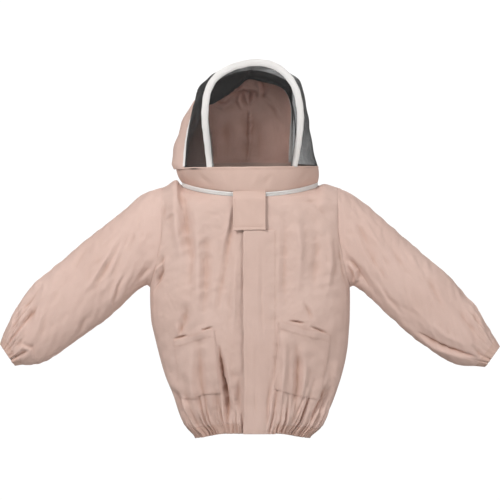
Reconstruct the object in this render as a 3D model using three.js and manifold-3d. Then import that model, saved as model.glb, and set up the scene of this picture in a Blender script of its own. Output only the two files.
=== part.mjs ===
// Hooded beekeeping jacket in its worn shape. Millimetres, +Z up, front towards -Y, wearer's left
// towards +X, hem at z = 0. Cloth pieces are thin closed shells with real openings at neck, hem,
// armholes and cuffs. "Left" and "right" are always the wearer's.
import * as THREE from "three";
import { mergeVertices } from "three/addons/utils/BufferGeometryUtils.js";
import Module from "manifold-3d";

const wasm = await Module();
wasm.setup();

// ---- shared dimensions -------------------------------------------------------------------
const CLOTH = 3; // torso and hood cloth, with its seam allowances
const GAP = 0.4; // clearance between neighbouring pieces
const FRONT_Y = -105; // straight front centre line
const Y_SHIFT = 10.9; // moves the finished jacket so its outline is centred on the origin
const LEFT = 1; // sign of x on the wearer's left
const RIGHT = -1;

// ---- looks -------------------------------------------------------------------------------
const LOOKS = {
  cloth: { color: 0xd5b9ad, roughness: 0.85, metalness: 0 },
  clothDark: { color: 0xcdb0a4, roughness: 0.85, metalness: 0 },
  hem: { color: 0xbe9e92, roughness: 0.9, metalness: 0 },
  mesh: { color: 0x433f3c, roughness: 0.7, metalness: 0 },
  tape: { color: 0xece2dc, roughness: 0.7, metalness: 0 },
  teeth: { color: 0xf0ece8, roughness: 0.45, metalness: 0 },
  wire: { color: 0x78787a, roughness: 0.35, metalness: 1 },
  slider: { color: 0xd6d4d2, roughness: 0.3, metalness: 1 },
  elastic: { color: 0xe1dcd7, roughness: 0.8, metalness: 0 },
  touch: { color: 0xcebab0, roughness: 0.95, metalness: 0 },
};

const root = new THREE.Group();
function add(name, source, look) {
  const plain = source.index ? source.toNonIndexed() : source.clone();
  plain.deleteAttribute("normal");
  plain.deleteAttribute("uv");
  plain.translate(0, Y_SHIFT, 0);
  plain.computeVertexNormals();
  const material = new THREE.MeshStandardMaterial({ ...LOOKS[look], side: THREE.DoubleSide });
  const mesh = new THREE.Mesh(plain, material);
  mesh.name = name;
  root.add(mesh);
}

// ---- number and vector helpers -----------------------------------------------------------
const vec = (x, y, z) => new THREE.Vector3(x, y, z);
const cross = (a, b) => vec(0, 0, 0).crossVectors(a, b);
const lerp = (a, b, t) => a + (b - a) * t;
const signedPower = (value, power) => Math.sign(value) * Math.abs(value) ** power;
// cosine and sine of a superellipse; roundness 2 is an ellipse, more is squarer
const superCos = (angle, roundness) => signedPower(Math.cos(angle), 2 / roundness);
const superSin = (angle, roundness) => signedPower(Math.sin(angle), 2 / roundness);
// steps + 1 even values from start to end
const range = (steps, start = 0, end = 1) =>
  Array.from({ length: steps + 1 }, (_, i) => lerp(start, end, i / steps));
// even angles round a full turn, without repeating the first
const turn = (count) => range(count, 0, 2 * Math.PI).slice(0, count);
const mixRows = (rowA, rowB, t) => rowA.map((value, i) => lerp(value, rowB[i], t));
// row of a table at a fractional index
function rowAt(rows, index) {
  const i = Math.min(Math.floor(index), rows.length - 2);
  return mixRows(rows[i], rows[i + 1], index - i);
}

// ---- mesh helpers ------------------------------------------------------------------------
// closed body from points and triangles, turned so that its volume is positive
function bodyFrom(points, triangles) {
  let volume = 0;
  for (const [a, b, c] of triangles) volume += points[a].dot(cross(points[b], points[c]));
  const facing = volume < 0 ? triangles.map(([a, b, c]) => [a, c, b]) : triangles;
  const coordinates = points.flatMap((p) => [p.x, p.y, p.z]);
  const body = new THREE.BufferGeometry();
  body.setAttribute("position", new THREE.Float32BufferAttribute(coordinates, 3));
  body.setIndex(facing.flat());
  return body;
}

// body between an outer and an inner grid of points [i][j]; wrap joins the last i to the first
function gridBody(outer, inner, wrap) {
  const columns = outer.length;
  const rows = outer[0].length;
  const triangles = [];
  const out = (i, j) => (i % columns) * rows + j;
  const inn = (i, j) => columns * rows + out(i, j);
  const quad = (a, b, c, d) => triangles.push([a, b, c], [a, c, d]);
  const top = rows - 1;
  const end = columns - 1;
  for (let i = 0; i < (wrap ? columns : end); i++) {
    for (let j = 0; j < top; j++) {
      quad(out(i, j), out(i + 1, j), out(i + 1, j + 1), out(i, j + 1));
      quad(inn(i, j), inn(i, j + 1), inn(i + 1, j + 1), inn(i + 1, j));
    }
    quad(out(i, 0), inn(i, 0), inn(i + 1, 0), out(i + 1, 0));
    quad(out(i, top), out(i + 1, top), inn(i + 1, top), inn(i, top));
  }
  if (!wrap)
    for (let j = 0; j < top; j++) {
      quad(out(0, j), out(0, j + 1), inn(0, j + 1), inn(0, j));
      quad(out(end, j), inn(end, j), inn(end, j + 1), out(end, j + 1));
    }
  return bodyFrom([...outer.flat(), ...inner.flat()], triangles);
}

// shell under surface(u, v), sampled at us and vs; outward(point, u, v) is the rough outward
// direction, and lift moves the whole shell along its normal
function shell({ surface, us, vs, wrap = false, thickness, outward, lift = 0 }) {
  const step = 1e-3; // for the surface's slopes
  const lower = (value, list) => Math.max(list[0], value - step);
  const upper = (value, list) => Math.min(list[list.length - 1], value + step);
  const outer = [];
  const inner = [];
  for (const u of us) {
    const u0 = wrap ? u - step : lower(u, us);
    const u1 = wrap ? u + step : upper(u, us);
    const outerColumn = [];
    const innerColumn = [];
    for (const v of vs) {
      const p = surface(u, v);
      const alongU = surface(u1, v).sub(surface(u0, v));
      const alongV = surface(u, upper(v, vs)).sub(surface(u, lower(v, vs)));
      const normal = cross(alongU, alongV).normalize();
      if (normal.dot(outward(p, u, v)) < 0) normal.negate();
      outerColumn.push(p.clone().addScaledVector(normal, lift));
      innerColumn.push(p.clone().addScaledVector(normal, lift - thickness));
    }
    outer.push(outerColumn);
    inner.push(innerColumn);
  }
  return gridBody(outer, inner, wrap);
}

// profile points [a, b] carried along stations: a along the normal, b along the binormal
function sweep(stations, profile) {
  const count = profile.length;
  const end = (stations.length - 1) * count;
  const triangles = [];
  const points = stations.flatMap(({ point, normal, binormal }) => profile.map(([a, b]) =>
    point.clone().addScaledVector(normal, a).addScaledVector(binormal, b)));
  for (let start = 0; start < end; start += count)
    for (let j = 0; j < count; j++) {
      const a = start + j;
      const b = start + ((j + 1) % count);
      triangles.push([a, b, b + count], [a, b + count, a + count]);
    }
  for (let j = 1; j < count - 1; j++) {
    triangles.push([0, j + 1, j]);
    triangles.push([end, end + j, end + j + 1]);
  }
  return bodyFrom(points, triangles);
}
const rect = (a0, a1, b0, b1) => [[a0, b0], [a1, b0], [a1, b1], [a0, b1]];
const circle = (radius, sides) =>
  turn(sides).map((angle) => [radius * Math.cos(angle), radius * Math.sin(angle)]);

// x0 and x1 may come in either order, for mirrored parts
function box(x0, x1, y0, y1, z0, z1) {
  return new THREE.BoxGeometry(Math.abs(x1 - x0), y1 - y0, z1 - z0)
    .translate((x0 + x1) / 2, (y0 + y1) / 2, (z0 + z1) / 2);
}
// outline points [x, z] extruded from y0 to y1
function prism(outline, y0, y1) {
  const shape = new THREE.Shape(outline.map(([x, z]) => new THREE.Vector2(x, z)));
  return new THREE.ExtrudeGeometry(shape, { depth: y1 - y0, bevelEnabled: false })
    .rotateX(Math.PI / 2).translate(0, y1, 0);
}
// cylinder along Y that cuts a hole right through a pull tab
const pullHole = (radius) => new THREE.CylinderGeometry(radius, radius, 40, 10);

function solid(source) {
  const bare = source.clone();
  bare.deleteAttribute("normal");
  bare.deleteAttribute("uv");
  const merged = mergeVertices(bare, 1e-4);
  return new wasm.Manifold(new wasm.Mesh({
    numProp: 3,
    vertProperties: new Float32Array(merged.attributes.position.array),
    triVerts: new Uint32Array(merged.index.array),
  }));
}
function geometry(manifold) {
  const { vertProperties, triVerts } = manifold.getMesh();
  return new THREE.BufferGeometry()
    .setAttribute("position", new THREE.BufferAttribute(new Float32Array(vertProperties), 3))
    .setIndex(new THREE.BufferAttribute(new Uint32Array(triVerts), 1));
}
const join = (...parts) => geometry(parts.map(solid).reduce((a, b) => a.add(b)));
const cut = (part, ...tools) =>
  geometry(tools.map(solid).reduce((rest, tool) => rest.subtract(tool), solid(part)));
const common = (a, b) => geometry(solid(a).intersect(solid(b)));

// ---- neck ring ---------------------------------------------------------------------------
// a ring in a plane tilted about X: a circular arc in front, a superellipse behind
const NECK_TILT = (16.4 * Math.PI) / 180;
const NECK_RADIUS = 237.5; // front arc
const NECK_HALF = 196;
const NECK_FRONT_Z = 705;
const NECK_BACK_Y = 85;
const NECK_ROUNDNESS = 2.3;
const NECK_EDGE = 6.5; // cloth edges stand this far from the zip's centre line

const neckBackward = vec(0, Math.cos(NECK_TILT), Math.sin(NECK_TILT));
const neckUp = vec(0, -Math.sin(NECK_TILT), Math.cos(NECK_TILT));
const neckCentre = vec(0, FRONT_Y, NECK_FRONT_Z).addScaledVector(neckBackward, NECK_RADIUS);
const neckSideW = -Math.sqrt(NECK_RADIUS ** 2 - NECK_HALF ** 2);
const neckBackW = (NECK_BACK_Y - neckCentre.y) / neckBackward.y;

// [x, w] in the ring's plane, w running backward; angle 0 is at +X, 90 degrees at the back
function neckPlane(angle) {
  const x = NECK_HALF * superCos(angle, NECK_ROUNDNESS);
  if (Math.sin(angle) < 0) return [x, -Math.sqrt(NECK_RADIUS ** 2 - x * x)];
  return [x, lerp(neckSideW, neckBackW, Math.abs(superSin(angle, NECK_ROUNDNESS)))];
}
const neckPoint = ([x, w], rise = 0) => neckCentre.clone()
  .addScaledVector(vec(1, 0, 0), x).addScaledVector(neckBackward, w).addScaledVector(neckUp, rise);

// evenly walked stations from the front by the +X side and the back to the front again;
// endGap is left open at each end
function neckStations(count, endGap) {
  const fineSteps = 720;
  const slopeReach = 4;
  const fine = range(fineSteps).map((_, i) =>
    neckPlane(-Math.PI / 2 + (2 * Math.PI * i) / fineSteps));
  const walked = [0];
  for (let i = 1; i < fine.length; i++) {
    const [x0, w0] = fine[i - 1];
    const [x1, w1] = fine[i];
    walked.push(walked[i - 1] + Math.hypot(x1 - x0, w1 - w0));
  }
  const at = (distance) => {
    const i = walked.findIndex((value) => value > distance);
    const t = (distance - walked[i - 1]) / (walked[i] - walked[i - 1]);
    return mixRows(fine[i - 1], fine[i], t);
  };
  return range(count, endGap, walked[fineSteps] - endGap).map((distance) => {
    const [x0, w0] = at(distance - slopeReach);
    const [x1, w1] = at(distance + slopeReach);
    const length = Math.hypot(x1 - x0, w1 - w0);
    const normal = vec((w1 - w0) / length, 0, 0).addScaledVector(neckBackward, -(x1 - x0) / length);
    return { point: neckPoint(at(distance)), normal, binormal: neckUp };
  });
}

// ---- torso -------------------------------------------------------------------------------
// body rings: height, half width, front depth, back depth, roundness
const BODY = [
  [31, 203, 105, 92, 2.3],
  [58, 210, 105, 95, 2.3],
  [104, 226, 105, 99, 2.3],
  [150, 243, 105, 102, 2.3],
  [197, 260, 105, 105, 2.35],
  [267, 277, 105, 108, 2.4],
  [330, 287, 105, 110, 2.5],
  [400, 290, 105, 112, 2.6],
  [437, 290, 105, 112, 2.7],
  [500, 289, 105, 113, 2.8],
  [565, 288, 105, 113, 2.8],
  [630, 287, 105, 112, 2.8],
  [680, 284, 105, 109, 2.7],
];
// shoulder ring, higher at the sides and back than in front
const SHOULDER = {
  half: 266, front: -FRONT_Y, back: 101, roundness: 2.4, zFront: 692, zSide: 712, zBack: 722,
};
const ARMHOLE_X = 254;
const ARMHOLE_Z = 438; // underarm
const SEAM_Y = 8; // plane of the side and shoulder seams
const ZIP_X = 12;
const ZIP_HALF_SLOT = 7;
const RING_ANGLES = turn(40);
const awayFromAxis = (p) => vec(p.x, p.y, 0);

function ringPoint([z, half, front, back, roundness], angle) {
  const s = superSin(angle, roundness);
  return vec(half * superCos(angle, roundness), s < 0 ? s * front : s * back, z);
}
function shoulderPoint(angle) {
  const { half, front, back, roundness, zFront, zSide, zBack } = SHOULDER;
  const zEnd = Math.sin(angle) < 0 ? zFront : zBack;
  const z = lerp(zSide, zEnd, Math.abs(Math.sin(angle)));
  return ringPoint([z, half, front, back, roundness], angle);
}
// level counts the body rings, then the shoulder ring, then the neck's lower cloth edge
function torsoPoint(angle, level) {
  const last = BODY.length - 1;
  if (level <= last) return ringPoint(rowAt(BODY, level), angle);
  const shoulder = shoulderPoint(angle);
  if (level <= last + 1) return ringPoint(BODY[last], angle).lerp(shoulder, level - last);
  return shoulder.lerp(neckPoint(neckPlane(angle), -NECK_EDGE), level - last - 1);
}
function addTorso() {
  const levels = BODY.length + 1;
  const full = shell({
    surface: torsoPoint, us: RING_ANGLES, vs: range(levels, 0, levels), wrap: true,
    thickness: CLOTH, outward: awayFromAxis,
  });
  const armCut = (side) => box(side * ARMHOLE_X, side * 400, -200, 200, ARMHOLE_Z, 900);
  const body = cut(full, armCut(LEFT), armCut(RIGHT));
  const frontHalf = (x0, x1) => common(body, box(x0, x1, -300, SEAM_Y, 0, 900));
  add("back_panel", common(body, box(-400, 400, SEAM_Y + GAP, 300, 0, 900)), "cloth");
  add("front_panel_right", frontHalf(-400, ZIP_X - ZIP_HALF_SLOT), "cloth");
  add("front_panel_left", frontHalf(ZIP_X + ZIP_HALF_SLOT, 400), "cloth");
}
addTorso();

// ---- pockets -----------------------------------------------------------------------------
const POCKET = { thickness: 2, lift: 4.4 }; // lift sets the outer face off the torso's
// corners [x, z] as a front view shows them: top left, top right, bottom right, bottom left
const POCKET_RIGHT = [[-220, 283], [-101, 316], [-84, 129], [-207, 112]];
const POCKET_LEFT = [[80, 339], [232, 300], [203, 112], [65, 145]];

// how far the torso's front lies before y = 0
function frontDepth(x, z) {
  const i = BODY.findIndex((row) => row[0] > z);
  const t = (z - BODY[i - 1][0]) / (BODY[i][0] - BODY[i - 1][0]);
  const [, half, front, , roundness] = mixRows(BODY[i - 1], BODY[i], t);
  return front * (1 - Math.abs(x / half) ** roundness) ** (1 / roundness);
}
function pocket([topLeft, topRight, bottomRight, bottomLeft]) {
  const surface = (u, v) => {
    const bottom = mixRows(bottomLeft, bottomRight, u);
    const [x, z] = mixRows(bottom, mixRows(topLeft, topRight, u), v);
    return vec(x, -frontDepth(x, z), z);
  };
  return shell({ surface, us: range(6), vs: range(5), outward: () => vec(0, -1, 0), ...POCKET });
}
add("pocket_right", pocket(POCKET_RIGHT), "clothDark");
add("pocket_left", pocket(POCKET_LEFT), "clothDark");

// ---- hem ---------------------------------------------------------------------------------
// casing with an elastic inside it, both open at the front for the zip
const HEM_BOTTOM = [0, 197, 105, 91, 2.3]; // ring, columns as in BODY
const HEM_TOP = 30;
const HEM_CLOTH = 2.4;
const HEM_ELASTIC = 1.4;

// offset moves the ring outward
function hemPoint(angle, offset, z) {
  const [, half, front, back, roundness] = mixRows(HEM_BOTTOM, BODY[0], z / BODY[0][0]);
  return ringPoint([z, half + offset, front + offset, back + offset, roundness], angle);
}
// angle, by halving, where the hem meets the gap's edge; it never crosses x = 0 to the other side
function hemGapAngle(side, halfGap) {
  let low = -Math.PI / 2;
  let high = side > 0 ? 0 : -Math.PI;
  for (let i = 0; i < 50; i++) {
    const middle = (low + high) / 2;
    const past = side * (hemPoint(middle, 0, 0).x - (ZIP_X + side * halfGap));
    if (past < 0) low = middle;
    else high = middle;
  }
  return low;
}
function hemBand({ outer, thickness, z0, z1, halfGap }) {
  const angles = range(36, hemGapAngle(LEFT, halfGap), hemGapAngle(RIGHT, halfGap) + 2 * Math.PI);
  const grid = (offset) => angles.map((angle) => [z0, z1].map((z) => hemPoint(angle, offset, z)));
  return gridBody(grid(outer), grid(outer - thickness), false);
}
add("hem_casing", hemBand({
  outer: 0, thickness: HEM_CLOTH, z0: 0, z1: HEM_TOP, halfGap: ZIP_HALF_SLOT + 2,
}), "hem");
add("hem_elastic", hemBand({
  outer: -HEM_CLOTH - GAP, thickness: HEM_ELASTIC, z0: 4, z1: HEM_TOP - 4,
  halfGap: ZIP_HALF_SLOT + 12,
}), "elastic");

// ---- front zip ---------------------------------------------------------------------------
const ZIP_LOW = 20;
const ZIP_HIGH = 676;
const SLIDER_Z = 652;
const TEETH_GAP = 0.8; // half of the slot the slider's post runs in
// distances from the zip's centre line
const TAPE = { near: 1.2, far: 17, yOut: FRONT_Y + 5, yIn: FRONT_Y + 6.4 };
const TEETH = {
  notch: 2.4, far: 4.4, pitch: 26, z0: ZIP_LOW + 18, z1: ZIP_HIGH - 4,
  // parts of a pitch: tooth's end, notch's start, notch's end
  toothEnd: 0.55, notchStart: 0.6, notchEnd: 0.95,
};

function frontTape(side) {
  const { near, far, yOut, yIn } = TAPE;
  return box(ZIP_X + side * near, ZIP_X + side * far, yOut, yIn, ZIP_LOW, ZIP_HIGH);
}
function frontTeeth(side) {
  const { pitch, z0, z1, toothEnd, notchStart, notchEnd } = TEETH;
  const tip = ZIP_X + side * TEETH_GAP;
  const notch = ZIP_X + side * TEETH.notch;
  const far = ZIP_X + side * TEETH.far;
  const count = Math.floor((z1 - z0) / pitch);
  const outline = [];
  for (let i = 0; i < count; i++) {
    const z = z0 + i * pitch;
    outline.push([tip, z], [tip, z + pitch * toothEnd]);
    outline.push([notch, z + pitch * notchStart], [notch, z + pitch * notchEnd]);
  }
  outline.push([tip, z0 + count * pitch], [tip, z1], [far, z1], [far, z0]);
  if (side > 0) outline.reverse(); // same turning sense on both sides
  return prism(outline, FRONT_Y + 0.2, FRONT_Y + 3);
}
// slider plate with cut corners
function sliderPlate(y0, y1) {
  const z0 = SLIDER_Z - 8;
  const z1 = SLIDER_Z + 8;
  return prism([
    [ZIP_X - 6, z0 + 3], [ZIP_X - 4, z0], [ZIP_X + 4, z0], [ZIP_X + 6, z0 + 3],
    [ZIP_X + 6, z1 - 3], [ZIP_X + 3.5, z1], [ZIP_X - 3.5, z1], [ZIP_X - 6, z1 - 3],
  ], y0, y1);
}
function frontSlider() {
  const post = box(
    ZIP_X - 0.5, ZIP_X + 0.5, FRONT_Y - 1, FRONT_Y + 7.5, SLIDER_Z - 5, SLIDER_Z + 5);
  const pullPin = box(
    ZIP_X - 1, ZIP_X + 1, FRONT_Y - 5.2, FRONT_Y - 1.5, SLIDER_Z - 5, SLIDER_Z - 3);
  return join(
    sliderPlate(FRONT_Y - 2.4, FRONT_Y - 0.2), sliderPlate(FRONT_Y + 6.8, FRONT_Y + 9),
    post, pullPin);
}
function frontPull() {
  // outline as x from the zip's line and z from the slider's centre
  const outline = [
    [-3.4, -36], [3.4, -36], [4, -33], [2.9, -2], [2, -1], [-2, -1], [-2.9, -2], [-4, -33],
  ].map(([x, z]) => [ZIP_X + x, SLIDER_Z + z]);
  const hole = (drop, radius) => pullHole(radius).translate(ZIP_X, FRONT_Y, SLIDER_Z - drop);
  return cut(prism(outline, FRONT_Y - 4.2, FRONT_Y - 2.9), hole(4, 2), hole(29, 1.8));
}
add("front_zip_tape_right", frontTape(RIGHT), "tape");
add("front_zip_tape_left", frontTape(LEFT), "tape");
add("front_zip_teeth_right", frontTeeth(RIGHT), "teeth");
add("front_zip_teeth_left", frontTeeth(LEFT), "teeth");
add("front_zip_box",
  box(ZIP_X - 5, ZIP_X + 5, FRONT_Y - 1.5, FRONT_Y + 3, ZIP_LOW, ZIP_LOW + 17), "teeth");
add("front_zip_slider", frontSlider(), "slider");
add("front_zip_pull", frontPull(), "slider");

// ---- cover over the front zip, with its touch-fastener patches ---------------------------
const COVER = { x0: -19, x1: 75, z0: 17, z1: 603, yIn: -110.8 };
const COVER_PATCH = { x0: -16, x1: 1, height: 28, starts: [112, 312, 552] };
const FLAT_CLOTH = 2; // thickness of the cover and the neck flap
const PATCH_Y = 1.4; // depth from the cloth's inner face to a hook patch's far face

const flatPanel = ({ x0, x1, z0, z1, yIn }) => box(x0, x1, yIn - FLAT_CLOTH, yIn, z0, z1);

add("zip_cover_placket", flatPanel(COVER), "cloth");
COVER_PATCH.starts.forEach((z0, i) => {
  const { x0, x1, height } = COVER_PATCH;
  const patch = (y0, y1) => box(x0, x1, y0, y1, z0, z0 + height);
  add(`cover_hook_patch_${i + 1}`, patch(COVER.yIn + GAP, COVER.yIn + PATCH_Y), "touch");
  add(`front_loop_patch_${i + 1}`, patch(FRONT_Y - 1.5, FRONT_Y - GAP), "touch");
});

// ---- neck zip ----------------------------------------------------------------------------
const NECK_SLIDER_DEG = 2.6; // each slider's angle from the front

const neckLine = neckStations(44, 5);
add("neck_zip_tape_lower", sweep(neckLine, rect(-5.9, -4.5, -10.5, -1.2)), "tape");
add("neck_zip_tape_upper", sweep(neckLine, rect(-5.9, -4.5, 1.2, 10.5)), "tape");
add("neck_zip_teeth_lower", sweep(neckLine, rect(-3.4, -0.4, -4.2, -TEETH_GAP)), "teeth");
add("neck_zip_teeth_upper", sweep(neckLine, rect(-3.4, -0.4, TEETH_GAP, 4.2)), "teeth");

// sets a part drawn flat (X along the zip, Y outward, Z across) on the ring's front arc
function onNeck(part, degrees) {
  const angle = (degrees * Math.PI) / 180;
  const outward = vec(Math.sin(angle), 0, 0).addScaledVector(neckBackward, -Math.cos(angle));
  const along = vec(Math.cos(angle), 0, 0).addScaledVector(neckBackward, Math.sin(angle));
  const place = new THREE.Matrix4().makeBasis(along, outward, cross(along, outward));
  place.setPosition(neckCentre.clone().addScaledVector(outward, NECK_RADIUS));
  return part.applyMatrix4(place);
}
function neckSlider() {
  const outerPlate = box(-7, 7, 0.1, 2.3, -5.4, 5.4);
  const innerPlate = box(-7, 7, -8.4, -6.3, -5.4, 5.4);
  const post = box(-5, 5, -6.8, 1, -0.5, 0.5);
  const pullPin = box(-1, 1, 2, 5, -1, 1);
  return join(outerPlate, innerPlate, post, pullPin);
}
const neckPull = (side) => cut(box(-3 * side, 23 * side, 2.8, 4, -3, 3), pullHole(2));
[["left", LEFT], ["right", RIGHT]].forEach(([name, side]) => {
  add("neck_slider_" + name, onNeck(neckSlider(), side * NECK_SLIDER_DEG), "slider");
  add("neck_pull_" + name, onNeck(neckPull(side), side * NECK_SLIDER_DEG), "slider");
});

// ---- hood band ---------------------------------------------------------------------------
// the band's top ring
const BAND_TOP = {
  x: -9, half: 206, front: -117, back: 102, roundness: 2.3, zFront: 786, zSide: 796, zBack: 800,
};
function bandTop(angle) {
  const { x, half, front, back, roundness, zFront, zSide, zBack } = BAND_TOP;
  const s = superSin(angle, roundness);
  return vec(
    x + half * superCos(angle, roundness),
    lerp((front + back) / 2, s < 0 ? front : back, Math.abs(s)),
    lerp(zSide, s < 0 ? zFront : zBack, Math.abs(Math.sin(angle))),
  );
}
add("neck_band", shell({
  surface: (angle, v) => neckPoint(neckPlane(angle), NECK_EDGE).lerp(bandTop(angle), v),
  us: RING_ANGLES, vs: range(3), wrap: true, thickness: CLOTH, outward: awayFromAxis,
}), "cloth");

// ---- hood --------------------------------------------------------------------------------
// hoop centre lines [x, y, z], from the wearer's right foot over the head to the left foot
const FRONT_HOOP = [
  [-115, -92, 793], [-122, -101, 850], [-130, -108, 925], [-128, -108, 970],
  [-121, -105, 1006], [-101, -99, 1041], [-60, -92, 1069], [-15, -88, 1083],
  [25, -87, 1087], [70, -89, 1077], [108, -95, 1049], [132, -103, 1010],
  [142, -107, 970], [146, -108, 925], [138, -102, 850], [128, -92, 793],
];
const REAR_HOOP = [
  [-190, 15, 804], [-187, 20, 860], [-179, 28, 910], [-162, 42, 962],
  [-136, 54, 1000], [-102, 65, 1028], [-58, 75, 1044], [-10, 81, 1050],
  [40, 84, 1048], [80, 86, 1032], [108, 86, 1005], [124, 84, 965],
  [131, 80, 915], [134, 76, 860], [137, 70, 804],
];
const MESH_THICKNESS = 2;
const BAND_LIFT = 3.4; // hood pieces start this far above the band's top edge
const FACE = {
  edge: 11.5, // the veil stops this far inside the hoop
  footTurn: 0.11, // radians its lower edge stops short of each hoop foot
  centreX: 6, centreLow: 815, centreHigh: 940, // line the hoop edge is drawn in towards
  bulge: 34,
};
const SIDE = {
  footPart: 0.16, // part of the hoop, at each foot, blended down to the band
  bulge: 16, centreZ: 900,
};
const BACK = { offset: 6, bulge: 22, rise: 10, seamX: -3 };

const hoopCurve = (points) =>
  new THREE.CatmullRomCurve3(points.map((p) => vec(...p)), false, "centripetal");
const frontHoop = hoopCurve(FRONT_HOOP);
const rearHoop = hoopCurve(REAR_HOOP);
const bandEdge = (angle) => bandTop(angle).add(vec(0, 0, BAND_LIFT));
const arch = (t) => Math.sin(Math.PI * t);

// angle of the band's top ring nearest a hoop foot in plan
function angleUnder([x, y]) {
  let best = 0;
  let least = Infinity;
  for (const angle of turn(1440)) {
    const p = bandTop(angle);
    const distance = (p.x - x) ** 2 + (p.y - y) ** 2;
    if (distance < least) {
      least = distance;
      best = angle;
    }
  }
  return best;
}
const frontRight = angleUnder(FRONT_HOOP[0]);
const frontLeft = angleUnder(FRONT_HOOP.at(-1));
const rearRight = angleUnder(REAR_HOOP[0]);
const rearLeft = angleUnder(REAR_HOOP.at(-1));
// from one angle to another, always in the increasing sense
const onward = (start, end, t) => lerp(start, end < start ? end + 2 * Math.PI : end, t);

// veil over the face: from the band's front arc (s = 0) to the front hoop (s = 1)
function faceSurface(t, s) {
  const low = bandEdge(onward(frontRight + FACE.footTurn, frontLeft - FACE.footTurn, t));
  const hoop = frontHoop.getPointAt(t);
  const centreZ = THREE.MathUtils.clamp(hoop.z, FACE.centreLow, FACE.centreHigh);
  const inward = vec(FACE.centreX, hoop.y, centreZ).sub(hoop).normalize();
  const edge = hoop.clone().add(inward.multiplyScalar(FACE.edge));
  const bulge = FACE.bulge * (arch(t) ** 0.8 * arch(s) ** 1.4);
  return low.lerp(edge, s).add(vec(0, -bulge, 0));
}
add("face_mesh", shell({
  surface: faceSurface, us: range(18), vs: range(8), thickness: MESH_THICKNESS,
  outward: () => vec(0, -1, 0),
}), "mesh");

// mesh over the crown and sides, from the front hoop (s = 0) to the rear one (s = 1)
function sideSurface(t, s) {
  const p = frontHoop.getPointAt(t).lerp(rearHoop.getPointAt(t), lerp(0.08, 0.95, s));
  const outward = vec(p.x, 0, p.z - SIDE.centreZ).normalize();
  p.add(outward.multiplyScalar(SIDE.bulge * arch(s) * arch(t) ** 0.5));
  const footWeight = (fromFoot) => Math.max(0, 1 - fromFoot / SIDE.footPart) ** 1.5;
  const bandPart = lerp(0.12, 0.92, s);
  p.lerp(bandEdge(lerp(frontRight, rearRight, bandPart)), footWeight(t));
  return p.lerp(bandEdge(onward(frontLeft, rearLeft, bandPart)), footWeight(1 - t));
}
add("side_mesh", shell({
  surface: sideSurface, us: range(26), vs: range(5), thickness: MESH_THICKNESS,
  outward: (p) => vec(p.x, 0, p.z - 880),
}), "mesh");

// cloth back of the hood, from the rear hoop (s = 0) to the band (s = 1)
function backSurface(t, s) {
  const low = bandEdge(onward(rearLeft, rearRight, 1 - t));
  const p = rearHoop.getPointAt(t).add(vec(0, BACK.offset, 0)).lerp(low, s);
  const bulge = arch(s) ** 0.9 * arch(t) ** 0.7;
  return p.add(vec(0, BACK.bulge * bulge, BACK.rise * bulge * (1 - s)));
}
// two halves with a centre seam
function addHoodBack() {
  const full = shell({
    surface: backSurface, us: range(20), vs: range(6), thickness: CLOTH,
    outward: () => vec(0, 1, 0.2),
  });
  [["right", RIGHT], ["left", LEFT]].forEach(([name, side]) => {
    const half = box(BACK.seamX + (side * GAP) / 2, side * 400, -300, 400, 600, 1300);
    add("hood_back_" + name, common(full, half), "cloth");
  });
}
addHoodBack();

// hoops: round wires with a flat tape, before the front wire and behind the rear one;
// the binormal faces the front
function hoopStations(curve, count) {
  return range(count).map((t) => {
    const tangent = curve.getTangentAt(t);
    const normal = cross(tangent, vec(0, -1, 0)).normalize();
    return { point: curve.getPointAt(t), normal, binormal: cross(normal, tangent).normalize() };
  });
}
const frontLine = hoopStations(frontHoop, 30);
const rearLine = hoopStations(rearHoop, 28);
add("front_hoop_wire", sweep(frontLine, circle(2, 6)), "wire");
add("front_hoop_tape", sweep(frontLine, rect(-10, 10, 3.2, 4.8)), "tape");
add("rear_hoop_wire", sweep(rearLine, circle(1.6, 6)), "wire");
add("rear_hoop_tape", sweep(rearLine, rect(-5, 5, -3.2, -2.1)), "tape");

// ---- neck flap and hanging loop ----------------------------------------------------------
const FLAP = { x0: -48, x1: 43, z0: 606, z1: 715, yIn: -112.6 };
const LOOP = { y: 72, z: 726 };

const flapPatch = (y0, y1) => box(-36, 0, y0, y1, 611, 629);
add("neck_flap", flatPanel(FLAP), "cloth");
add("flap_hook_patch", flapPatch(FLAP.yIn + GAP, FLAP.yIn + PATCH_Y), "touch");
add("flap_loop_patch", flapPatch(FRONT_Y - 1.6, FRONT_Y - 0.5), "touch");
add("hanger_loop", cut(
  box(-30, 30, LOOP.y, LOOP.y + 2, LOOP.z - 14, LOOP.z + 8),
  box(-22, 22, LOOP.y - 5, LOOP.y + 7, LOOP.z - 8, LOOP.z + 4),
), "tape");

// ---- sleeves -----------------------------------------------------------------------------
// stations: upper edge x and z, lower edge x and z, half depth; x is measured towards the side
const SLEEVE_LEFT = [
  [258, 700, 258, 452, 50], [292, 699, 293, 452, 56], [335, 677, 318, 431, 62],
  [383, 638, 346, 405, 63], [432, 592, 380, 373, 62], [490, 545, 423, 336, 60],
  [542, 499, 465, 301, 58], [592, 452, 507, 267, 55], [629, 406, 542, 241, 51],
  [667, 360, 577, 220, 47], [694, 318, 602, 213, 41], [711, 289, 625, 214, 34],
];
const CUFF_LEFT = [[712, 287, 627, 213, 34], [725, 264, 645, 205, 31]];
const SLEEVE_RIGHT = [
  [258, 700, 258, 452, 50], [292, 700, 293, 452, 56], [342, 683, 319, 435, 62],
  [394, 638, 348, 405, 63], [452, 592, 390, 369, 62], [507, 545, 430, 336, 60],
  [565, 499, 477, 301, 58], [617, 452, 527, 267, 55], [653, 406, 565, 243, 51],
  [684, 360, 600, 221, 47], [708, 318, 628, 213, 41], [718, 294, 654, 213, 34],
];
const CUFF_RIGHT = [[719, 292, 657, 212, 34], [725, 268, 683, 208, 31]];
const SLEEVE_ROUNDNESS = 2.2;

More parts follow.
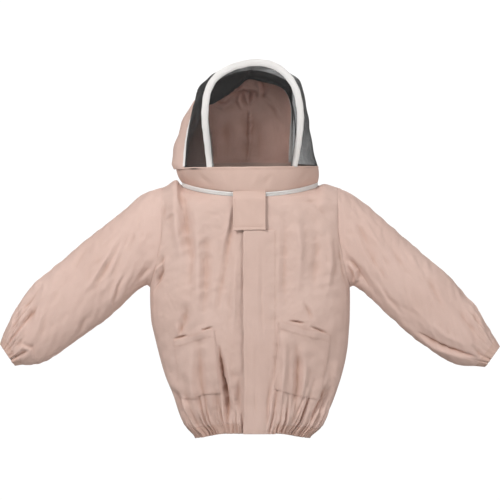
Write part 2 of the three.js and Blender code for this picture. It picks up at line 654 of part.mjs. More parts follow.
function tube(rows, side, thickness, lift = 0) {
  const last = rows.length - 1;
  const surface = (angle, v) => {
    const [upperX, upperZ, lowerX, lowerZ, depth] = rowAt(rows, v);
    const c = superCos(angle, SLEEVE_ROUNDNESS);
    return vec(
      side * ((upperX + lowerX) / 2 + ((upperX - lowerX) / 2) * c),
      depth * superSin(angle, SLEEVE_ROUNDNESS),
      (upperZ + lowerZ) / 2 + ((upperZ - lowerZ) / 2) * c,
    );
  };
  const outward = (p, angle, v) => {
    const [upperX, upperZ, lowerX, lowerZ] = rows[Math.round(v)];
    return vec(p.x - (side * (upperX + lowerX)) / 2, p.y, p.z - (upperZ + lowerZ) / 2);
  };
  const us = turn(20);
  return shell({ surface, us, vs: range(last, 0, last), wrap: true, thickness, outward, lift });
}
[
  ["left", LEFT, SLEEVE_LEFT, CUFF_LEFT],
  ["right", RIGHT, SLEEVE_RIGHT, CUFF_RIGHT],
].forEach(([name, side, sleeve, cuff]) => {
  const elastic = [0.2, 0.8].map((part) => rowAt(cuff, part));
  add("sleeve_" + name, tube(sleeve, side, 2.6), "cloth");
  add("cuff_casing_" + name, tube(cuff, side, 2), "hem");
  add("cuff_elastic_" + name, tube(elastic, side, 1.4, -2.5), "elastic");
});

export default root;
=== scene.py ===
import bpy, math
import numpy as np
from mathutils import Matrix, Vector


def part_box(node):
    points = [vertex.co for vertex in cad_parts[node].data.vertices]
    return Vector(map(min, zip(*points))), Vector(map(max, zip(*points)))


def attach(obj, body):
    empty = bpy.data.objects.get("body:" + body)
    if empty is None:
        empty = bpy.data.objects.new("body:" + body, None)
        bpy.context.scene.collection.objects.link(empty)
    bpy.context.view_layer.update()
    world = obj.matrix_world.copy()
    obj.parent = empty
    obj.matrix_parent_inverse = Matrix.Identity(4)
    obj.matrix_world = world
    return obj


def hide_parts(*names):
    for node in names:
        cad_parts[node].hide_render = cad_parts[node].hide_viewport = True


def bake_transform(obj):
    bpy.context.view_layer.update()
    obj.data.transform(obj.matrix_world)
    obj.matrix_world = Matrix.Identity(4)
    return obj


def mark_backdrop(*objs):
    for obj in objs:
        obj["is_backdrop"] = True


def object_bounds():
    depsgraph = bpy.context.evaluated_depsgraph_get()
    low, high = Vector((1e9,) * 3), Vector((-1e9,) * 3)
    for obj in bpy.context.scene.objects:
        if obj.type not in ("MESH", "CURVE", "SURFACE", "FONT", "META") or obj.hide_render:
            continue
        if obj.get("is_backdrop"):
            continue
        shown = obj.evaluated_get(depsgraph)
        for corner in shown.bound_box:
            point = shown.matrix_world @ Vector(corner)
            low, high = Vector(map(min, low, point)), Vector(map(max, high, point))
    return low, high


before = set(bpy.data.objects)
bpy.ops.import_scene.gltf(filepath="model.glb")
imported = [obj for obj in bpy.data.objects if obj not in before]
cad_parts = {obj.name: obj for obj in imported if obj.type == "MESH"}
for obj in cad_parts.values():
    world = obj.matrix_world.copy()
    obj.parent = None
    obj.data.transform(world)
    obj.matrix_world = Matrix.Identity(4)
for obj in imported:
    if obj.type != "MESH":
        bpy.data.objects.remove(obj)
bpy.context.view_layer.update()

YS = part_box("zip_cover_placket")[0].y * 1000 + 112.8
MM = 0.001
TAU = 2 * math.pi

# ------------------------------------------------------------------ small maths
def smooth(x, a, b):
    t = np.clip((x - a) / (b - a), 0, 1)
    return t * t * (3 - 2 * t)

def norm(v):
    return v / np.maximum(np.linalg.norm(v, axis=-1, keepdims=True), 1e-9)

def waves(x, y, scale, seed, n=14):
    """Smooth noise about -1..1 from seeded waves of about one scale."""
    r = np.random.default_rng(seed)
    out = np.zeros(np.broadcast(x, y).shape)
    for _ in range(n):
        a, k, p = r.uniform(0, TAU), TAU / scale * r.uniform(0.5, 1.5), r.uniform(0, TAU)
        out += np.sin(k * (np.cos(a) * x + np.sin(a) * y) + p)
    return out / math.sqrt(n) / 1.4

def waves1(x, scale, seed, n=8):
    r = np.random.default_rng(seed)
    out = np.zeros(np.shape(x))
    for _ in range(n):
        out += np.sin(TAU / scale * r.uniform(0.5, 1.6) * x + r.uniform(0, TAU))
    return out / math.sqrt(n) / 1.2

def catmull(P, f, wrap=False):
    """Upsamples axis 0 by f through the same points."""
    n = P.shape[0]
    if wrap:
        s = np.arange(n * f) / f
        i = s.astype(int)
        idx = lambda k: (i + k) % n
    else:
        s = np.arange((n - 1) * f + 1) / f
        i = np.minimum(s.astype(int), n - 2)
        idx = lambda k: np.clip(i + k, 0, n - 1)
    t = (s - i).reshape((-1,) + (1,) * (P.ndim - 1))
    a, b, c, d = P[idx(-1)], P[idx(0)], P[idx(1)], P[idx(2)]
    return 0.5 * ((2 * b) + (c - a) * t + (2 * a - 5 * b + 4 * c - d) * t ** 2 + (3 * b - a - 3 * c + d) * t ** 3)

def finer(P, fu, fv, wrap=False):
    Q = catmull(P, fu, wrap)
    return np.swapaxes(catmull(np.swapaxes(Q, 0, 1), fv), 0, 1)

def normals(P, wrap, out):
    """Unit normals of a grid, turned to the side of the direction field out."""
    if wrap:
        du = np.roll(P, -1, 0) - np.roll(P, 1, 0)
    else:
        du = np.gradient(P, axis=0)
    dv = np.gradient(P, axis=1)
    n = norm(np.cross(du, dv))
    s = np.sign(np.sum(n * out, axis=(0, 1, 2)) + 1e-12)
    return n * s

def arc(P, axis):
    """Length along an axis of a grid, in mm, taken at its middle line."""
    Q = P if axis == 0 else np.swapaxes(P, 0, 1)
    step = np.linalg.norm(np.diff(Q, axis=0), axis=-1)
    s = np.concatenate([np.zeros((1,) + step.shape[1:]), np.cumsum(step, 0)], 0)
    return s if axis == 0 else np.swapaxes(s, 0, 1)

def stroke(X, Z, pts, kind, w, h, w2=None, taper=0.5):
    """Height of one fold drawn along a polyline pts in the plane (X, Z)."""
    pts = np.array(pts, float)
    lens = np.linalg.norm(np.diff(pts, axis=0), axis=1)
    total, done = lens.sum(), 0.0
    reach = max(w, w2 or w) * 4.5
    best = np.full(X.shape, 1e9); sign = np.zeros(X.shape); along = np.zeros(X.shape)
    near = (X > pts[:, 0].min() - reach) & (X < pts[:, 0].max() + reach) & (Z > pts[:, 1].min() - reach) & (Z < pts[:, 1].max() + reach)
    if not near.any():
        return np.zeros(X.shape)
    x, z = X[near], Z[near]
    b, sg, al = np.full(x.shape, 1e9), np.zeros(x.shape), np.zeros(x.shape)
    for (x0, z0), (x1, z1), L in zip(pts[:-1], pts[1:], lens):
        dx, dz = (x1 - x0) / L, (z1 - z0) / L
        t = np.clip((x - x0) * dx + (z - z0) * dz, 0, L)
        ex, ez = x - x0 - t * dx, z - z0 - t * dz
        d = np.hypot(ex, ez)
        m = d < b
        b[m] = d[m]; sg[m] = np.sign(ex * dz - ez * dx)[m]; al[m] = ((done + t) / total)[m]
        done += L
    end = np.clip(np.minimum(al, 1 - al) / max(taper, 1e-3), 0, 1)
    end = np.sin(end * math.pi / 2) ** 1.2
    d = b * sg
    if kind == "v":
        f = -h * np.exp(-(b / w) ** 2)
    elif kind == "r":
        f = h * np.exp(-(b / w) ** 2)
    else:  # a step: raised on one side, sunk on the other
        f = h * np.tanh(d / w) * np.exp(-(b / (w2 or 3 * w)) ** 2)
    outv = np.zeros(X.shape)
    outv[near] = f * end
    return outv

def lat(*uv):
    """Fold lines, read off as column and row in the 500 x 500 reference picture, in millimetres: 2.9 mm a step, column
    250 on the centre line, row 438 at the hem.
    """
    return [((u - 250) * 2.9, (438 - v) * 2.9) for u, v in uv]

# ------------------------------------------------------------------ mesh making
def raw_mesh(name, verts, faces, uv=None):
    me = bpy.data.meshes.new(name)
    me.from_pydata((np.asarray(verts) * MM + np.array([0, YS * MM, 0])).tolist(), [], faces)
    if uv is not None:
        layer = me.uv_layers.new(name="UVMap")
        idx = np.zeros(len(me.loops), np.int32)
        me.loops.foreach_get("vertex_index", idx)
        layer.data.foreach_set("uv", np.asarray(uv, np.float32)[idx].ravel())
    me.polygons.foreach_set("use_smooth", [True] * len(me.polygons))
    me.update()
    ob = bpy.data.objects.new(name, me)
    bpy.context.scene.collection.objects.link(ob)
    return ob

def hollow(P, n, wrap, r=10.0):
    """How far each point of a grid lies below (+) or above (-) the cloth round it, in mm."""
    Q = P
    for ax in (0, 1):
        step = np.linalg.norm(np.diff(P, axis=ax), axis=-1).mean() + 1e-6
        k = int(min(max(1, round(r / step)), (P.shape[ax] - 1) // 3))
        if k < 1: continue
        for _ in range(2):
            pad = [(0, 0)] * 3; pad[ax] = (k + 1, k)
            C = np.cumsum(np.pad(Q, pad, mode="wrap" if (wrap and ax == 0) else "edge"), axis=ax)
            m = Q.shape[ax]
            Q = (np.take(C, np.arange(2 * k + 1, 2 * k + 1 + m), ax) - np.take(C, np.arange(0, m), ax)) / (2 * k + 1)
    return ((Q - P) * n).sum(-1)

def sheet(name, P, t, out, wrap=False, mat=None, uvs=None, mat_in=None):
    """A cloth sheet of thickness t: the grid P is its outer face."""
    nu, nv = P.shape[:2]
    n = normals(P, wrap, out)
    Q = P - n * t
    verts = np.concatenate([P.reshape(-1, 3), Q.reshape(-1, 3)])
    i = np.arange(nu if wrap else nu - 1)[:, None]; j = np.arange(nv - 1)[None, :]
    i2 = (i + 1) % nu
    a, b, c, d = i * nv + j, i2 * nv + j, i2 * nv + j + 1, i * nv + j + 1
    quads = np.stack(np.broadcast_arrays(a, b, c, d), -1).reshape(-1, 4)
    off = nu * nv
    inner = quads[:, ::-1] + off
    rims = []
    ii = np.arange(nu if wrap else nu - 1); ii2 = (ii + 1) % nu
    rims.append(np.stack([ii2 * nv, ii * nv, ii * nv + off, ii2 * nv + off], -1))
    e = nv - 1
    rims.append(np.stack([ii * nv + e, ii2 * nv + e, ii2 * nv + e + off, ii * nv + e + off], -1))
    if not wrap:
        jj = np.arange(nv - 1)
        rims.append(np.stack([jj, jj + 1, jj + 1 + off, jj + off], -1))
        l = (nu - 1) * nv
        rims.append(np.stack([l + jj + 1, l + jj, l + jj + off, l + jj + 1 + off], -1))
    faces = np.concatenate([quads, inner] + rims)
    p0, p1, p3 = verts[quads[:, 0]], verts[quads[:, 1]], verts[quads[:, 3]]
    fn = np.cross(p1 - p0, p3 - p0)
    if (fn * n[:-1 if not wrap else None, :-1].reshape(-1, 3)).sum() < 0:
        faces = faces[:, ::-1]
    if uvs is None:
        su, sv = arc(P, 0), arc(P, 1)
        mid = nv // 2, nu // 2
        su = np.broadcast_to(su[:, mid[0]:mid[0] + 1], (nu, nv)); sv = np.broadcast_to(sv[mid[1]:mid[1] + 1, :], (nu, nv))
        uvs = np.stack([su, sv], -1) * MM
    uv = np.concatenate([uvs.reshape(-1, 2)] * 2)
    ob = raw_mesh(name, verts, faces.tolist(), uv)
    if mat:
        ob.data.materials.append(mat)
    if mat_in:
        ob.data.materials.append(mat_in)
        ob.data.polygons.foreach_set("material_index", [0] * len(quads) + [1] * len(inner) + [0] * sum(len(r) for r in rims))
    if nu > 20 and nv > 8:
        # depth of each point in its crease, kept as an attribute that the cloth material turns into painted crease
        # shade and a painted ridge highlight
        crease_shade_depth = hollow(P, n, wrap).ravel()
        ob.data.attributes.new("fold", "FLOAT", "POINT").data.foreach_set("value", np.concatenate([crease_shade_depth, -crease_shade_depth]).astype(np.float32))
    return ob

def ribbon(name, C, W, N, half, t, mat, puff=0.0, ncross=5, wrap=False, edge=0.0, lo=None, hi=None):
    """A tape along points C: W is its width direction, N its face direction."""
    lo = -half if lo is None else lo; hi = half if hi is None else hi
    c = np.linspace(0, 1, ncross)
    k = lo + (hi - lo) * c
    h = puff * np.sin(np.pi * c) - edge * (np.abs(2 * c - 1) ** 6)
    P = C[:, None] + W[:, None] * k[None, :, None] + N[:, None] * h[None, :, None]
    return sheet(name, P, t, np.broadcast_to(N[:, None], P.shape), wrap=wrap, mat=mat)

def join(name, obs):
    """One mesh from several, each with its own material slots kept."""
    verts, faces, mats, mi, uvs, crease_shade_depths, base = [], [], [], [], [], [], 0
    for o in obs:
        me = o.data
        crease_shade_depth = np.zeros(len(me.vertices), np.float32)
        if "fold" in me.attributes: me.attributes["fold"].data.foreach_get("value", crease_shade_depth)
        crease_shade_depths.append(crease_shade_depth)
        co = np.zeros(len(me.vertices) * 3, np.float32); me.vertices.foreach_get("co", co)
        verts.append(co.reshape(-1, 3))
        remap = []
        for m in me.materials:
            if m not in mats: mats.append(m)
            remap.append(mats.index(m))
        for p in me.polygons:
            faces.append([v + base for v in p.vertices]); mi.append(remap[p.material_index] if remap else 0)
        if me.uv_layers:
            u = np.zeros(len(me.loops) * 2, np.float32); me.uv_layers[0].data.foreach_get("uv", u); uvs.append(u.reshape(-1, 2))
        else:
            uvs.append(np.zeros((len(me.loops), 2), np.float32))
        base += len(me.vertices)
        bpy.data.objects.remove(o)
    me = bpy.data.meshes.new(name)
    me.from_pydata(np.concatenate(verts).tolist(), [], faces)
    layer = me.uv_layers.new(name="UVMap")
    layer.data.foreach_set("uv", np.concatenate(uvs).ravel())
    for m in mats: me.materials.append(m)
    me.polygons.foreach_set("material_index", mi)
    me.polygons.foreach_set("use_smooth", [True] * len(me.polygons))
    # the crease depth each piece carried, read by the cloth material for its painted crease shade
    me.attributes.new("fold", "FLOAT", "POINT").data.foreach_set("value", np.concatenate(crease_shade_depths))
    me.update()
    ob = bpy.data.objects.new(name, me)
    bpy.context.scene.collection.objects.link(ob)
    return ob

def stitches(name, lines, mat, pitch=3.4, length=2.3, r=0.33, lift=0.25):
    """Raised thread stitches along lines, each line a (points, normals) pair."""
    verts, faces = [], []
    for pts, nn in lines:
        pts, nn = np.asarray(pts, float), norm(np.asarray(nn, float))
        s = np.concatenate([[0], np.cumsum(np.linalg.norm(np.diff(pts, axis=0), axis=1))])
        at = np.arange(pitch / 2, s[-1] - pitch / 2, pitch)
        if len(at) == 0: continue
        def smp(q, A): return np.stack([np.interp(q, s, A[:, k]) for k in range(3)], -1)
        m, a, b = smp(at, pts), smp(at - length / 2, pts), smp(at + length / 2, pts)
        n = norm(smp(at, nn)); t = norm(b - a); w = np.cross(t, n)
        base = len(verts)
        ring = [(a - n * 0.3, 0.5), (m * 0.5 + a * 0.5 + n * lift, 1.0), (m + n * (lift + 0.15), 1.1), (m * 0.5 + b * 0.5 + n * lift, 1.0), (b - n * 0.3, 0.5)]
        V = np.stack([np.stack([p + w * r * k, p + n * r * k, p - w * r * k, p - n * r * k], 1) for p, k in ring], 1)  # (stitch, ring, 4, 3)
        for q in range(len(at)):
            o = base + q * 20
            verts.extend(V[q].reshape(-1, 3))
            for k in range(4):
                for e in range(4):
                    x, y = o + k * 4 + e, o + k * 4 + (e + 1) % 4
                    faces.append([x, y, y + 4, x + 4])
            faces.append([o + 3, o + 2, o + 1, o]); faces.append([o + 16, o + 17, o + 18, o + 19])
    ob = raw_mesh(name, np.array(verts), faces)
    ob.data.materials.append(mat)
    return ob

# ------------------------------------------------------------------ materials
def srgb(r, g, b):
    f = lambda c: ((c + 0.055) / 1.055) ** 2.4 if c > 0.04045 else c / 12.92
    return (f(r / 255), f(g / 255), f(b / 255), 1)

class Nodes:
    def __init__(self, name):
        self.m = bpy.data.materials.new(name); self.m.use_nodes = True
        self.t = self.m.node_tree; self.t.nodes.clear()
        self.out = self.add("ShaderNodeOutputMaterial")
    def add(self, kind, **kw):
        n = self.t.nodes.new(kind)
        for k, v in kw.items():
            if k.startswith("_"): setattr(n, k[1:], v)
            else: self.put(n.inputs[k.replace("__", " ")], v)
        return n
    def put(self, sock, v):
        if hasattr(v, "links") or isinstance(v, bpy.types.NodeSocket): self.t.links.new(v, sock)
        else: sock.default_value = v
    def math(self, op, a, b=None, c=None, clamp=False):
        n = self.t.nodes.new("ShaderNodeMath"); n.operation = op; n.use_clamp = clamp
        for s, v in zip(n.inputs, (a, b, c)):
            if v is not None: self.put(s, v)
        return n.outputs[0]
    def mix(self, f, a, b, kind="MIX"):
        n = self.t.nodes.new("ShaderNodeMix"); n.data_type = "RGBA"; n.blend_type = kind
        self.put(n.inputs[0], f); self.put(n.inputs[6], a); self.put(n.inputs[7], b)
        return n.outputs[2]
    def ramp(self, f, pts):
        n = self.t.nodes.new("ShaderNodeValToRGB"); self.put(n.inputs[0], f)
        e = n.color_ramp.elements
        while len(e) < len(pts): e.new(0.5)
        for x, (p, c) in zip(e, pts): x.position = p; x.color = c
        return n.outputs[0]

def weave_height(g, uv, pitch, twill=True):
    """Height of a woven cloth with threads this far apart, in metres."""
    s = g.add("ShaderNodeSeparateXYZ"); g.put(s.inputs[0], uv)
    k = TAU / pitch
    a = g.math("SINE", g.math("MULTIPLY", s.outputs[0], k))
    b = g.math("SINE", g.math("MULTIPLY", s.outputs[1], k))
    if not twill:
        return g.math("MULTIPLY", a, b)
    d = g.math("SINE", g.math("MULTIPLY", g.math("ADD", s.outputs[0], g.math("MULTIPLY", s.outputs[1], 1.0)), k / 2.2))
    return g.math("ADD", g.math("MULTIPLY", g.math("MULTIPLY", a, b), 0.4), g.math("MULTIPLY", d, 0.6))

def cloth_mat(name, rgb, rough=0.86, sheen=0.25, pitch=0.0009, twill=True, blotch=0.05, bump=0.35, slub=0.05, pleat=None):
    g = Nodes(name)
    uv = g.add("ShaderNodeUVMap", _uv_map="UVMap").outputs[0]
    obj = g.add("ShaderNodeTexCoord").outputs["Object"]
    big = g.add("ShaderNodeTexNoise", Vector=obj, Scale=5.5, Detail=4.0, Roughness=0.55).outputs[0]
    mid = g.add("ShaderNodeTexNoise", Vector=obj, Scale=38.0, Detail=3.0, Roughness=0.6).outputs[0]
    # long uneven threads in both directions
    st = g.add("ShaderNodeVectorMath", _operation="MULTIPLY"); g.put(st.inputs[0], uv); st.inputs[1].default_value = (1400, 60, 1)
    st2 = g.add("ShaderNodeVectorMath", _operation="MULTIPLY"); g.put(st2.inputs[0], uv); st2.inputs[1].default_value = (60, 1400, 1)
    w1 = g.add("ShaderNodeTexNoise", Vector=st.outputs[0], Scale=1.0, Detail=1.0).outputs[0]
    w2 = g.add("ShaderNodeTexNoise", Vector=st2.outputs[0], Scale=1.0, Detail=1.0).outputs[0]
    h = weave_height(g, uv, pitch, twill)
    base = srgb(*rgb)
    dark = tuple(c * (1 - blotch * 1.6) * k for c, k in zip(base[:3], (1.0, 0.965, 0.945))) + (1,)
    light = tuple(min(1, c * (1 + blotch * 0.7)) for c in base[:3]) + (1,)
    col = g.mix(g.math("MULTIPLY_ADD", big, 1.8, -0.4, clamp=True), dark, light)
    fine = g.math("ADD", g.math("MULTIPLY_ADD", mid, blotch * 0.9, 1 - blotch * 0.45), g.math("MULTIPLY_ADD", g.math("ADD", w1, w2), slub, -slub))
    fine = g.math("ADD", fine, g.math("MULTIPLY", h, 0.018))
    col = g.mix(1.0, col, g.add("ShaderNodeCombineXYZ", X=fine, Y=fine, Z=fine).outputs[0], "MULTIPLY")
    # painted shade and highlight: cloth deep in a crease is painted darker and more saturated, and ridges a little
    # paler, standing in for the shade that creases catch
    fold = g.add("ShaderNodeAttribute", _attribute_name="fold").outputs["Fac"]
    col = g.mix(g.math("MULTIPLY", g.math("MAXIMUM", g.math("SUBTRACT", fold, 0.35), 0.0), 0.2, clamp=True), col, (0.78, 0.69, 0.63, 1), "MULTIPLY")
    col = g.mix(g.math("MULTIPLY", fold, -0.15, clamp=True), col, (1.06, 1.065, 1.07, 1), "MULTIPLY")
    bn = g.add("ShaderNodeBump", Strength=bump, Distance=0.0003, Height=g.math("ADD", h, g.math("MULTIPLY", mid, 1.2)))
    crump = g.add("ShaderNodeTexNoise", Vector=obj, Scale=85.0, Detail=5.0, Roughness=0.6, Distortion=0.6).outputs[0]
    bn2 = g.add("ShaderNodeBump", Strength=0.09, Distance=0.002, Height=crump); g.put(bn2.inputs["Normal"], bn.outputs[0])
    p = g.add("ShaderNodeBsdfPrincipled")
    g.put(p.inputs["Base Color"], col)
    g.put(p.inputs["Roughness"], g.math("MULTIPLY_ADD", mid, 0.1, rough - 0.05))
    g.put(p.inputs["Normal"], bn2.outputs[0])
    p.inputs["Specular IOR Level"].default_value = 0.25
    p.inputs["Sheen Weight"].default_value = sheen; p.inputs["Sheen Roughness"].default_value = 0.45
    p.inputs["Sheen Tint"].default_value = tuple(min(1, c * 1.15) for c in base[:3]) + (1,)
    g.put(g.out.inputs[0], p.outputs[0])
    return g.m

def veil_mat(name, rgb, through=0.6, through_left=None):
    """Net cloth; through_left is the share of light let through on the wearer's left (+X)."""
    g = Nodes(name)
    uv = g.add("ShaderNodeUVMap", _uv_map="UVMap").outputs[0]
    obj = g.add("ShaderNodeTexCoord").outputs["Object"]
    s = g.add("ShaderNodeSeparateXYZ"); g.put(s.inputs[0], uv)
    k = TAU / 0.0022
    a = g.math("ABSOLUTE", g.math("SINE", g.math("MULTIPLY", s.outputs[0], k / 2)))
    b = g.math("ABSOLUTE", g.math("SINE", g.math("MULTIPLY", s.outputs[1], k / 2)))
    hole = g.math("POWER", g.math("MULTIPLY", a, b), 0.5)  # 1 in the middle of a hole, 0 on a thread
    big = g.add("ShaderNodeTexNoise", Vector=obj, Scale=9.0, Detail=3.0).outputs[0]
    geo = g.add("ShaderNodeNewGeometry")
    dot = g.add("ShaderNodeVectorMath", _operation="DOT_PRODUCT"); g.put(dot.inputs[0], geo.outputs["Incoming"]); g.put(dot.inputs[1], geo.outputs["Normal"])
    c = g.math("MAXIMUM", g.math("ABSOLUTE", dot.outputs["Value"]), 0.12)
    # painted shade where used: the net's see-through share changes from one side to the other, making one side darker
    if through_left is not None:
        sx = g.add("ShaderNodeSeparateXYZ"); g.put(sx.inputs[0], obj)
        k = g.math("MULTIPLY_ADD", sx.outputs[0], 8.0, 0.5, clamp=True)
        through = g.math("MULTIPLY_ADD", k, through_left - through, through)
    T = g.math("POWER", through, g.math("DIVIDE", 1.0, c))
    T = g.math("MULTIPLY", T, g.math("MULTIPLY_ADD", hole, 0.9, 0.42))
    T = g.math("MULTIPLY", T, g.math("MULTIPLY_ADD", big, 0.25, 0.875), clamp=True)
    p = g.add("ShaderNodeBsdfPrincipled")
    base = srgb(*rgb)
    col = g.mix(g.math("MULTIPLY_ADD", big, 0.8, 0.1, clamp=True), tuple(x * 0.8 for x in base[:3]) + (1,), tuple(x * 1.25 for x in base[:3]) + (1,))
    g.put(p.inputs["Base Color"], col)
    p.inputs["Roughness"].default_value = 0.62
    p.inputs["Sheen Weight"].default_value = 0.12
    bn = g.add("ShaderNodeBump", Strength=0.4, Distance=0.0003, Height=hole)
    g.put(p.inputs["Normal"], bn.outputs[0])
    tr = g.add("ShaderNodeBsdfTransparent")
    mx = g.add("ShaderNodeMixShader"); g.put(mx.inputs[0], T); g.put(mx.inputs[1], p.outputs[0]); g.put(mx.inputs[2], tr.outputs[0])
    g.put(g.out.inputs[0], mx.outputs[0])
    return g.m

def hard_mat(name, rgb, rough, metal, grain=0.1, scale=220.0):
    g = Nodes(name)
    obj = g.add("ShaderNodeTexCoord").outputs["Object"]
    n = g.add("ShaderNodeTexNoise", Vector=obj, Scale=scale, Detail=4.0).outputs[0]
    base = srgb(*rgb)
    col = g.mix(n, tuple(x * (1 - grain) for x in base[:3]) + (1,), tuple(min(1, x * (1 + grain * 0.5)) for x in base[:3]) + (1,))
    bn = g.add("ShaderNodeBump", Strength=0.15, Distance=0.0003, Height=n)
    p = g.add("ShaderNodeBsdfPrincipled")
    g.put(p.inputs["Base Color"], col); g.put(p.inputs["Roughness"], g.math("MULTIPLY_ADD", n, 0.2, rough - 0.1)); g.put(p.inputs["Normal"], bn.outputs[0])
    p.inputs["Metallic"].default_value = metal
    g.put(g.out.inputs[0], p.outputs[0])
    return g.m

CLOTH_RGB = (214, 187, 176)
M_BODY = cloth_mat("cloth_body", CLOTH_RGB)
M_SLEEVE = cloth_mat("cloth_sleeve", (216, 188, 177))
M_HOOD = cloth_mat("cloth_hood", (213, 185, 173))
M_HOODBACK = cloth_mat("cloth_hood_back", (209, 182, 171))
# painted light: the inside of the hood is a lighter, pinker copy of the hood cloth, brightening its shaded interior
M_HOODIN_LIT = cloth_mat("cloth_hood_inside_painted_light", (230, 188, 174))
M_HEM = cloth_mat("cloth_gathered", (209, 179, 166), blotch=0.09)
# painted light: the neck zip's tape is a whiter copy of the tape cloth, brightening it against the shade the band casts
# on it
M_NECKTAPE_LIT = cloth_mat("white_zip_tape_painted_light", (246, 245, 244), rough=0.72, sheen=0.1, pitch=0.0013, twill=False, blotch=0.02, bump=0.4)
M_TAPE = cloth_mat("white_tape_weave", (229, 227, 225), rough=0.72, sheen=0.1, pitch=0.0013, twill=False, blotch=0.025, bump=0.5)
M_ELASTIC = cloth_mat("elastic_weave", (226, 221, 215), rough=0.8, sheen=0.1, pitch=0.0016, twill=False, blotch=0.04, bump=0.7)
M_TOUCH = cloth_mat("touch_pile", (206, 184, 172), rough=0.95, sheen=0.5, pitch=0.0014, twill=False, blotch=0.12, bump=0.9)
M_VEIL = veil_mat("veil_net", (18, 18, 18), 0.835)
# painted shade: the side net lets less light through on the wearer's right (-X) than on the left, darkening that side
# like the shaded hood inside seen through it
M_VEIL_SIDE = veil_mat("veil_net_side", (17, 17, 17), 0.55, 0.79)
M_VEIL_FOLD = veil_mat("veil_net_folded", (9, 9, 9), 0.25)
M_THREAD = cloth_mat("stitch_thread", (196, 164, 149), rough=0.7, sheen=0.1, pitch=0.0006, blotch=0.05)
M_THREADW = cloth_mat("stitch_thread_white", (228, 224, 220), rough=0.7, sheen=0.1, pitch=0.0006, blotch=0.05)
M_TEETH = hard_mat("zip_teeth_moulded", (246, 245, 243), 0.42, 0.0, 0.06)
M_METAL = hard_mat("plated_metal", (206, 204, 202), 0.3, 1.0, 0.12)
M_WIRE = hard_mat("spring_wire", (150, 150, 152), 0.35, 1.0, 0.15)

# ------------------------------------------------------------------ body shape
TZ = np.array([0, 12, 35, 58, 81, 128, 174, 220, 267, 313, 336, 390, 437, 520, 700, 760], float)
TA = np.array([178, 181, 197, 209, 219, 236, 254, 267, 277, 284, 288, 290, 290, 289, 284, 280], float)
TC = np.array([9, 9, 9, 9.5, 10, 12, 10, 9, 7, 3, 1.5, 1, 0, 0, 0, 0], float)
TF = np.interp(TZ, [0, 40, 120, 400], [97, 101, 104, 105])
TB = np.array([78, 82, 89, 94, 97, 100, 103, 106, 108, 109, 110, 111, 112, 113, 108, 104], float)
TN = np.array([2.3, 2.3, 2.3, 2.3, 2.3, 2.3, 2.3, 2.35, 2.4, 2.45, 2.5, 2.6, 2.7, 2.8, 2.7, 2.6], float)
zz = np.linspace(-20, 780, 801)
ker = np.exp(-(np.arange(-60, 61) / 16.0) ** 2); ker /= ker.sum()
def table(vals, even=True):
    v = np.interp(zz, TZ, vals)
    v = np.concatenate([2 * v[0] - v[60:0:-1], v, 2 * v[-1] - v[-2:-62:-1]])
    return np.convolve(v, ker, "same")[60:-60]
HALF, CX, FD, BD, RN = (table(v) for v in (TA, TC, TF, TB, TN))
at = lambda T, z: np.interp(z, zz, T)
def half(z): return at(HALF, z)
def depth(x, z, front):
    n = at(RN, z)
    return (at(FD, z) if front else at(BD, z)) * np.maximum(1 - np.minimum(1, np.abs((x - at(CX, z) * (1 - smooth(z, 300, 440))) / half(z))) ** n, 0) ** (1 / n)

T0 = math.radians(16.4); NR = 237.5
E2 = np.array([0, math.cos(T0), math.sin(T0)]); NN = np.array([0, -math.sin(T0), math.cos(T0)])
NC = np.array([0, -105.0, 705.0]) + E2 * NR
NHALF, NSIDE, NBACK = 196.0, -math.sqrt(NR ** 2 - 196.0 ** 2), (85 - (NC[1])) / E2[1]
def neck_w(x, front):
    x = np.clip(x, -NHALF, NHALF)
    if front: return -np.sqrt(NR ** 2 - x * x)
    return NSIDE + (NBACK - NSIDE) * np.maximum(1 - np.abs(x / NHALF) ** 2.3, 0) ** (1 / 2.3)
def neck_pt(x, front, n=0.0, r=0.0):
    x = np.asarray(x, float); w = neck_w(x, front)
    p = NC + np.stack([x, 0 * x, 0 * x], -1) + w[..., None] * E2 + np.asarray(n)[..., None] * NN
    return p

def arm_x(z):
    """Where the armhole seam (or below it the side seam) runs, from the body's own centre."""
    return np.interp(z, [437, 446, 462, 482, 502, 522, 542, 565, 600, 690, 760], [290, 288.5, 284, 277.5, 272.5, 269, 265.5, 260.5, 256, 255, 255])
def side_x(z):
    return np.where(z < 437, half(z), np.minimum(arm_x(z), half(z)))
Z_TIP = 726.0
def top_curve(x, front):
    """Upper edge of a panel: the neck ring, then the shoulder seam out to its tip."""
    x = np.asarray(x, float); ax = np.abs(x)
    p = neck_pt(x, front, np.full(x.shape, -6.5))
    s = np.clip((ax - NHALF) / (255 - NHALF), 0, 1)
    edge = neck_pt(np.sign(x) * NHALF, front, np.full(x.shape, -6.5))
    tip = np.stack([np.sign(x) * 255.0, 0 * x, 0 * x + Z_TIP], -1)
    sh = edge + (tip - edge) * s[..., None]
    sh[..., 2] += 4 * np.sin(np.pi * s) + np.where(x < 0, 20 * np.exp(-((ax - 209) / np.where(ax < 209, 10.0, 24.0)) ** 2) * np.sin(np.pi * s) ** 0.5, 7 * np.exp(-((ax - 209) / 24.0) ** 2) * np.sin(np.pi * s) ** 0.5)
    return np.where((ax > NHALF)[..., None], sh, p)

